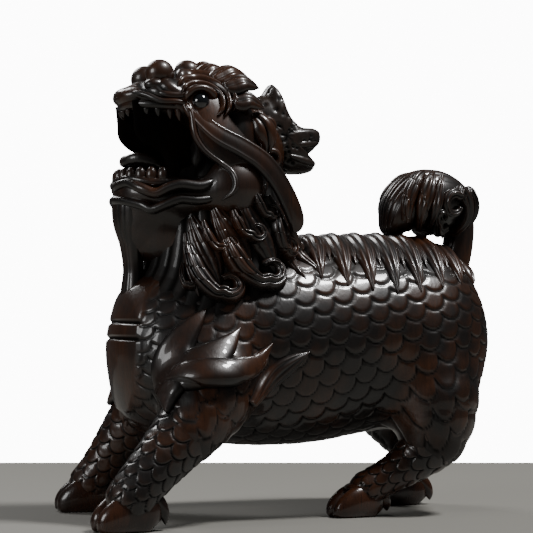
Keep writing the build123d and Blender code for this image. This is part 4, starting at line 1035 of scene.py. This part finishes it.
def tongue_parts():
    """A thick tongue with a groove down its middle, and a raised rim round its front."""
    path = spots([(-0.190, 0, 0.765), (-0.240, 0, 0.758), (-0.300, 0, 0.765), (-0.350, 0, 0.776),
                  (-0.380, 0, 0.786)])
    rim = round_front([(-17.4, 2.3, 45.6), (-19.6, 2.6, 46.6), (-21.7, 2.0, 47.2), (-22.8, 0.0, 46.9)])
    return [strand(path, [2.1, 2.8, 2.9, 2.5, 1.2], [0.8, 1.1, 1.2, 1.0, 0.6], (0, 0, 1), count=2, rows=70,
                   around=60, groove=0.3),
            strand(rim, [0.2, 0.5, 0.6, 0.6, 0.6, 0.5, 0.2], [0.3, 0.7, 0.8, 0.7, 0.8, 0.7, 0.3], (0, 0, 1),
                   rows=70, around=24)]


# Ridges round the eye: radius, first and last angle in degrees, half width and height
BROW_RIDGES = [(2.75, 160, -55, 0.42, 0.9), (3.5, 150, -40, 0.45, 1.2), (4.25, 128, -20, 0.5, 1.4)]
TUFT_ROOTS = [(-0.228, 0.110, 0.955), (-0.205, 0.185, 0.955), (-0.188, 0.235, 0.938), (-0.176, 0.262, 0.905)]
TUFT_TIPS = [(-0.150, 0.070, 0.992), (-0.112, 0.140, 0.976), (-0.100, 0.225, 0.944), (-0.096, 0.262, 0.897)]


def brow_parts(side):
    """Three ridges round the eye and four grooved tufts that sweep back to flame tips."""
    surface = flank(skull, side, -13, fan=0.0)
    parts = []
    for radius, start, end, half, height in BROW_RIDGES:
        turn = np.radians(np.linspace(start, end, 11))
        halves = half * np.clip(3.2 * np.sin(np.linspace(0.03, math.pi - 0.03, 11)), 0, 1)
        x, z = EYE[0] + 0.1 + radius * np.cos(turn), EYE[2] + 0.86 * radius * np.sin(turn)
        parts.append(lock(surface, np.stack([x, z, halves], 1), height, 1, rows=80, around=30, sink=0.8))
    for root, tip in zip(spots(TUFT_ROOTS, side), spots(TUFT_TIPS, side)):
        middle = (root + tip) / 2 + (0, side * 0.2, 0.75)
        early = 0.75 * root + 0.25 * tip + (0, 0, 0.35)
        late = 0.2 * root + 0.8 * tip + (0, side * 0.1, 0.35)
        parts.append(strand([root, early, middle, late, tip], [1.1, 1.7, 1.6, 0.9, 0.06],
                            [0.8, 0.95, 0.85, 0.5, 0.05], (-0.2, side * 0.8, 0.75), count=3, rows=60,
                            around=48, groove=0.45))
    return parts


def ear_parts(side):
    """A small leaf with two curls at the horn's root."""
    leaf = at_side([(-7.4, 6.6, 53.2), (-6.2, 7.4, 51.6), (-5.6, 7.4, 49.8), (-5.4, 6.8, 47.8)], side)
    parts = [strand(leaf, [0.8, 1.5, 1.4, 0.3], [0.6, 0.9, 0.8, 0.4], (0, side, 0.1), count=2, rows=60,
                    around=40, groove=0.45)]
    for x, y, z, size in ((-5.0, 5.6, 51.8, 0.9), (-4.2, 5.2, 47.6, 1.0)):
        bow = np.linspace(2.6, -2.2, 9)
        curl = at_side([(x + size * math.cos(t), y, z + size * math.sin(t)) for t in bow], side)
        parts.append(strand(curl, [0.2] + [0.55] * 7 + [0.3], [0.3] + [0.9] * 7 + [0.5], (0, side, 0),
                            rows=50, around=20))
        parts.append(part(dome(at_side((x, y - 0.2, z), side), (0.5 * size, 0.9, 0.5 * size)), 0.1, 0.6))
    return parts


def whisker_parts(side):
    """A long ribbon with raised rims, from beside the nose to its free end at the nape."""
    path = spots([(-0.280, 0.215, 0.918), (-0.258, 0.245, 0.882), (-0.215, 0.285, 0.838),
                  (-0.160, 0.310, 0.808), (-0.112, 0.318, 0.778), (-0.075, 0.316, 0.738),
                  (-0.046, 0.312, 0.690), (-0.030, 0.306, 0.650), (-0.031, 0.300, 0.624)], side)
    halves = [0.5, 1.0, 1.3, 1.4, 1.4, 1.35, 1.3, 1.2, 0.7]
    thicks = [0.4, 0.7, 0.85, 0.9, 0.9, 0.9, 0.85, 0.75, 0.5]
    return [strand(path, halves, thicks, (0, side, 0.15), rows=150, around=60, rim=0.3)]


# Outline of the horn in x and z: a spike on top and a forked rear end, like a small open beak
HORN = [(-6.6, 54.4), (-4.6, 56.2), (-3.3, 56.8), (-2.1, 58.3), (-1.1, 57.4), (-0.4, 55.7), (0.6, 53.9),
        (2.3, 52.6), (3.9, 52.5), (5.0, 52.0), (5.1, 50.7), (4.3, 49.6), (3.0, 48.4), (4.2, 47.6),
        (4.0, 46.7), (2.8, 46.2), (0.5, 46.1), (-1.8, 46.8), (-4.6, 48.2), (-6.6, 50.4)]
HORN_FORK = [((-0.3, 2.7, 49.8), (1.7, 2.5, 50.0), (3.5, 1.8, 50.3), (4.7, 1.0, 50.6)),
             ((-0.5, 2.7, 48.4), (1.5, 2.5, 47.9), (3.1, 1.8, 47.6), (4.1, 0.9, 47.5))]


def horn_parts():
    """A rounded slab from the horn's outline, stippled all over, with a lip along each half of its fork."""
    marks, radius, depth = 260, 0.26, 0.26
    slab, dent = pitted_grid(pebble(HORN, (-0.8, MIDDLE, 51.0), 3.3), marks, radius, depth)
    parts = [part(slab, dent, 0.25 * (1 - dent))]
    for side in (LEFT, RIGHT):
        for lip in HORN_FORK:
            parts.append(strand(at_side(lip, side), [0.3, 0.6, 0.6, 0.2], [0.3, 0.5, 0.5, 0.2],
                                (0, side, 0.3), rows=36, around=20))
    return parts


def beard_parts():
    """A striated column from the chin to the chest."""
    path = spots([(-0.362, 0, 0.705), (-0.364, 0, 0.650), (-0.358, 0, 0.600), (-0.354, 0, 0.545),
                  (-0.356, 0, 0.490), (-0.350, 0, 0.435)])
    return [strand(path, [3.7, 3.1, 2.1, 1.75, 2.2, 2.6], [2.4, 2.0, 1.5, 1.3, 1.5, 1.8], (-1, 0, 0), count=7,
                   rows=120, around=120, groove=0.14)]


# Tail

TAIL = spots([(0.410, 0, 0.500), (0.434, 0, 0.560), (0.450, 0, 0.620), (0.450, 0, 0.675), (0.424, 0, 0.712)])
TUFT = spots([(0.464, 0, 0.690), (0.438, 0, 0.706), (0.394, 0, 0.714), (0.344, 0, 0.712), (0.302, 0, 0.690),
              (0.278, 0, 0.656), (0.272, 0, 0.628)])
TUFT_HALVES = 4.55 * np.array([0.36, 0.76, 1.00, 1.00, 0.82, 0.58, 0.30])


def tail_parts():
    """A stout shank with five strands over each side and a slow twist."""
    halves = [2.7, 2.3, 2.15, 2.2, 2.3]
    return [strand(TAIL, halves, halves, (1, 0, 0), count=5, rows=110, around=90, groove=0.16, twist=0.8)]


# Locks beside the tuft: lead-in rows, the spiral's centre and radius, the angle where it starts, and turns
TUFT_LOCKS = [
    (((26.0, 38.4, 0.5), (26.4, 40.6, 0.9), (25.9, 42.8, 1.0), (24.9, 44.3, 0.9)),
     (23.6, 42.4), 2.3, 58, 0.8),
    (((20.0, 46.9, 0.4), (18.4, 45.6, 1.1), (17.0, 43.0, 1.3), (16.6, 39.8, 0.8)), None, 0, 0, 0),
    (((21.4, 46.8, 0.4), (20.2, 45.0, 1.1), (19.2, 42.2, 1.2), (18.6, 38.8, 0.5)), None, 0, 0, 0),
    (((22.4, 46.2, 0.4), (21.5, 44.4, 0.7), (20.9, 42.0, 0.9), (20.4, 39.2, 0.3)), None, 0, 0, 0),
    (((23.6, 39.4, 0.4), (22.6, 39.0, 0.7), (21.9, 39.4, 0.7)), (21.9, 40.7), 1.4, 250, -0.8),
    (((27.4, 39.6, 0.4), (27.6, 41.6, 0.7), (27.3, 43.4, 0.7), (26.5, 44.4, 0.6)),
     (25.9, 43.1), 1.4, 75, 0.9),
]


def tuft_parts():
    """The tuft: strands that fall forward to the back, with three locks and three curls on each side."""
    thicks = TUFT_HALVES * [1, 1, 1, 1, 0.92, 0.75, 0.6]
    parts = [strand(TUFT, TUFT_HALVES, thicks, (0, 0, 1), count=9, rows=120, around=160, groove=0.12)]
    form = tube(TUFT, TUFT_HALVES)
    for side in (LEFT, RIGHT):
        surface = flank(form, side, 22, plane=4.0, fan=0.10)
        for lead, centre, radius, start, turns in TUFT_LOCKS:
            path = np.array(lead, float)
            if centre:
                path = curl_path(lead, centre, radius, 0.28 * radius, lead[-1][2], 0.22 * radius, start,
                                 turns)
            parts.append(lock(surface, path, 1.2, 3, rows=100, around=40, sink=0.8))
    return parts


# Hooves

# Of each its place as shares, its length, width and height in mm, and how far it is turned in degrees
HOOVES = {
    "hoof_fore_left": ((-0.437, -0.450, 0), 8.2, 5.6, 4.9, 6),
    "hoof_fore_right": ((-0.388, 0.466, 0), 8.2, 5.6, 4.9, -6),
    "hoof_hind_left": ((0.130, -0.226, 0), 7.4, 5.0, 4.1, 6),
    "hoof_hind_right": ((0.350, 0.226, 0), 7.4, 5.0, 4.1, -6),
}


def hoof_parts(share, length, width, height, turn):
    """Two toes side by side, flat on the ground, under a coronet; and two dewclaws behind them.

    Their places are shares of the hoof's length, width and height.
    """
    parts = []
    size = np.array([length, width, height])
    for side in (LEFT, RIGHT):
        sized = size * (1, side, 1)
        path = sized * [(0.50, 0.20, 0.30), (0.30, 0.235, 0.42), (0.02, 0.245, 0.47),
                        (-0.25, 0.225, 0.33), (-0.44, 0.17, 0.16), (-0.52, 0.13, 0.08)]
        halves = [0.4, 0.24 * width, 0.262 * width, 0.25 * width, 0.18 * width, 0.2]
        thicks = [0.5, 0.50 * height, 0.56 * height, 0.44 * height, 0.26 * height, 0.25]
        toe = strand(path, halves, thicks, (0, 0, 1), rows=60, around=48)[0]
        toe[..., 2] = np.maximum(toe[..., 2], 0.0)
        parts.append(part(toe, 0.0, 0.6))
        path = sized * [(0.24, 0.16, 1.05), (0.44, 0.20, 0.72), (0.54, 0.22, 0.40), (0.57, 0.22, 0.14)]
        parts.append(strand(path, [0.9, 1.0, 0.8, 0.1], [0.9, 1.0, 0.7, 0.1], (1, 0, 0), rows=30, around=24))
    parts.append(part(dome(size * (0.16, 0, 0.93), size * (0.36, 0.47, 0.20)), 0.25, 0.4))
    cos, sin = math.cos(math.radians(turn)), math.sin(math.radians(turn))
    spin = np.array([[cos, -sin, 0], [sin, cos, 0], [0, 0, 1]])
    middle = spots([share])[0]
    return [(grid @ spin.T + middle, stain_and_shade, worn) for grid, stain_and_shade, worn in parts]


# The pieces

mesh_piece("Torso", torso_parts(), carved, "carved_wood", "torso")
mesh_piece("Neck", neck_parts(), carved, "carved_wood", "neck")
mesh_piece("Head", head_parts(), carved, "carved_wood", "head")
mesh_piece("Lower_jaw", jaw_parts(), carved, "carved_wood", "lower_jaw")
mesh_piece("Tongue", tongue_parts(), carved, "carved_wood", "tongue")
mesh_piece("Back_crest", crest_parts(), carved, "carved_wood", "back_crest")
mesh_piece("Horn", horn_parts(), pitted, "pitted_wood", "horn")
mesh_piece("Beard", beard_parts(), carved, "carved_wood", "beard")
mesh_piece("Tail", tail_parts(), carved, "carved_wood", "tail")
mesh_piece("Tail_tuft", tuft_parts(), carved, "carved_wood", "tail_tuft")
for side, word in ((LEFT, "left"), (RIGHT, "right")):
    eye = dome(at_side(EYE, side) + (0, side * 0.1, 0), (1.2, 1.2, 1.2))
    mesh_piece("Eye_" + word, [part(eye)], bead, "eye_bead", "eye_" + word)
    mesh_piece("Brow_" + word, brow_parts(side), carved, "carved_wood", "brow_" + word)
    mesh_piece("Ear_" + word, ear_parts(side), carved, "carved_wood", "ear_" + word)
    mesh_piece("Whisker_" + word, whisker_parts(side), carved, "carved_wood", "whisker_" + word)
    mesh_piece("Mane_" + word, mane_parts(side), carved, "carved_wood", "mane_" + word)
    mesh_piece("Shoulder_flame_" + word, flame_parts(side), carved, "carved_wood", "shoulder_flame_" + word)
for name in LEGS:
    mesh_piece(name.capitalize(), leg_parts(name), carved, "carved_wood", name)
for name, sizes in HOOVES.items():
    mesh_piece(name.capitalize(), hoof_parts(*sizes), polished, "polished_wood", name)


# Floor, light and camera

# The camera's heading from Y towards X and how far it looks up, its place in m, and its focal length
YAW, PITCH = math.radians(22), math.radians(2.378)
CAMERA_PLACE = (-0.092407, -0.222565, 0.0235)
FOCAL_PIXELS, PICTURE_PIXELS, SENSOR_WIDTH = 1770, 533, 36
# The floor in m along the camera's heading: half its width, its near edge and its far edge
FLOOR_HALF_WIDTH, FLOOR_NEAR, FLOOR_FAR = 1.6, -1.5, 0.10
# Lamps: place and size in m, and power in watts; all are aimed at one place
LAMPS = {
    "Overhead": ((0.16, -0.12, 0.40), 0.07, 2.4),
    "Back": ((-0.10, 0.35, 0.35), 0.16, 0.85),
    "Window": ((-0.34, -0.10, 0.16), 0.14, 0.5),
}
LAMP_AIM = (0, 0, 0.03)

# A pale matt table top, painted: it gives the eye one even tone under a soft shadow
table = bpy.data.materials.new("pale_table")
table.use_nodes = True
paint = {"Base Color": linear("#807e78"), "Roughness": 0.6}
feed(table.node_tree, table.node_tree.nodes["Principled BSDF"], paint)
forward = np.array([math.sin(YAW), math.cos(YAW), 0])
across = FLOOR_HALF_WIDTH * np.array([math.cos(YAW), -math.sin(YAW), 0])
near, far = FLOOR_NEAR * forward, FLOOR_FAR * forward
mesh = bpy.data.meshes.new("Floor")
corners = [near - across, near + across, far + across, far - across]
mesh.from_pydata([tuple(corner) for corner in corners], [], [(0, 1, 2, 3)])
mesh.materials.append(table)
floor = bpy.data.objects.new("Floor", mesh)
bpy.context.collection.objects.link(floor)

world = bpy.data.worlds.new("Studio")
bpy.context.scene.world = world
world.use_nodes = True
# The backdrop is white to the camera, and gives the statue almost no light
sky = world.node_tree.nodes["Background"]
sky.inputs["Color"].default_value = linear("#ffffff")
seen = node(world.node_tree, "ShaderNodeLightPath", {}, gives="Is Camera Ray")
strength = node(world.node_tree, RANGE, {0: seen, 1: 0, 2: 1, 3: 0.05, 4: 12.0})
world.node_tree.links.new(strength, sky.inputs["Strength"])


def softbox(name, place, size, power):
    """A square area light at a place, aimed at the statue."""
    lamp = bpy.data.lights.new(name, "AREA")
    lamp.size = size
    lamp.energy = power
    box = bpy.data.objects.new(name, lamp)
    way = Vector(place) - Vector(LAMP_AIM)
    box.matrix_world = Matrix.Translation(place) @ way.to_track_quat("Z", "Y").to_matrix().to_4x4()
    bpy.context.collection.objects.link(box)


for name, lamp_sizes in LAMPS.items():
    softbox(name, *lamp_sizes)

camera = bpy.data.cameras.new("Camera")
camera.sensor_width = SENSOR_WIDTH
camera.lens = FOCAL_PIXELS / PICTURE_PIXELS * SENSOR_WIDTH
eye_point = bpy.data.objects.new("Camera", camera)
look = Vector((math.sin(YAW) * math.cos(PITCH), math.cos(YAW) * math.cos(PITCH), math.sin(PITCH)))
turned = look.to_track_quat("-Z", "Y").to_matrix().to_4x4()
eye_point.matrix_world = Matrix.Translation(CAMERA_PLACE) @ turned
bpy.context.collection.objects.link(eye_point)
bpy.context.scene.camera = eye_point
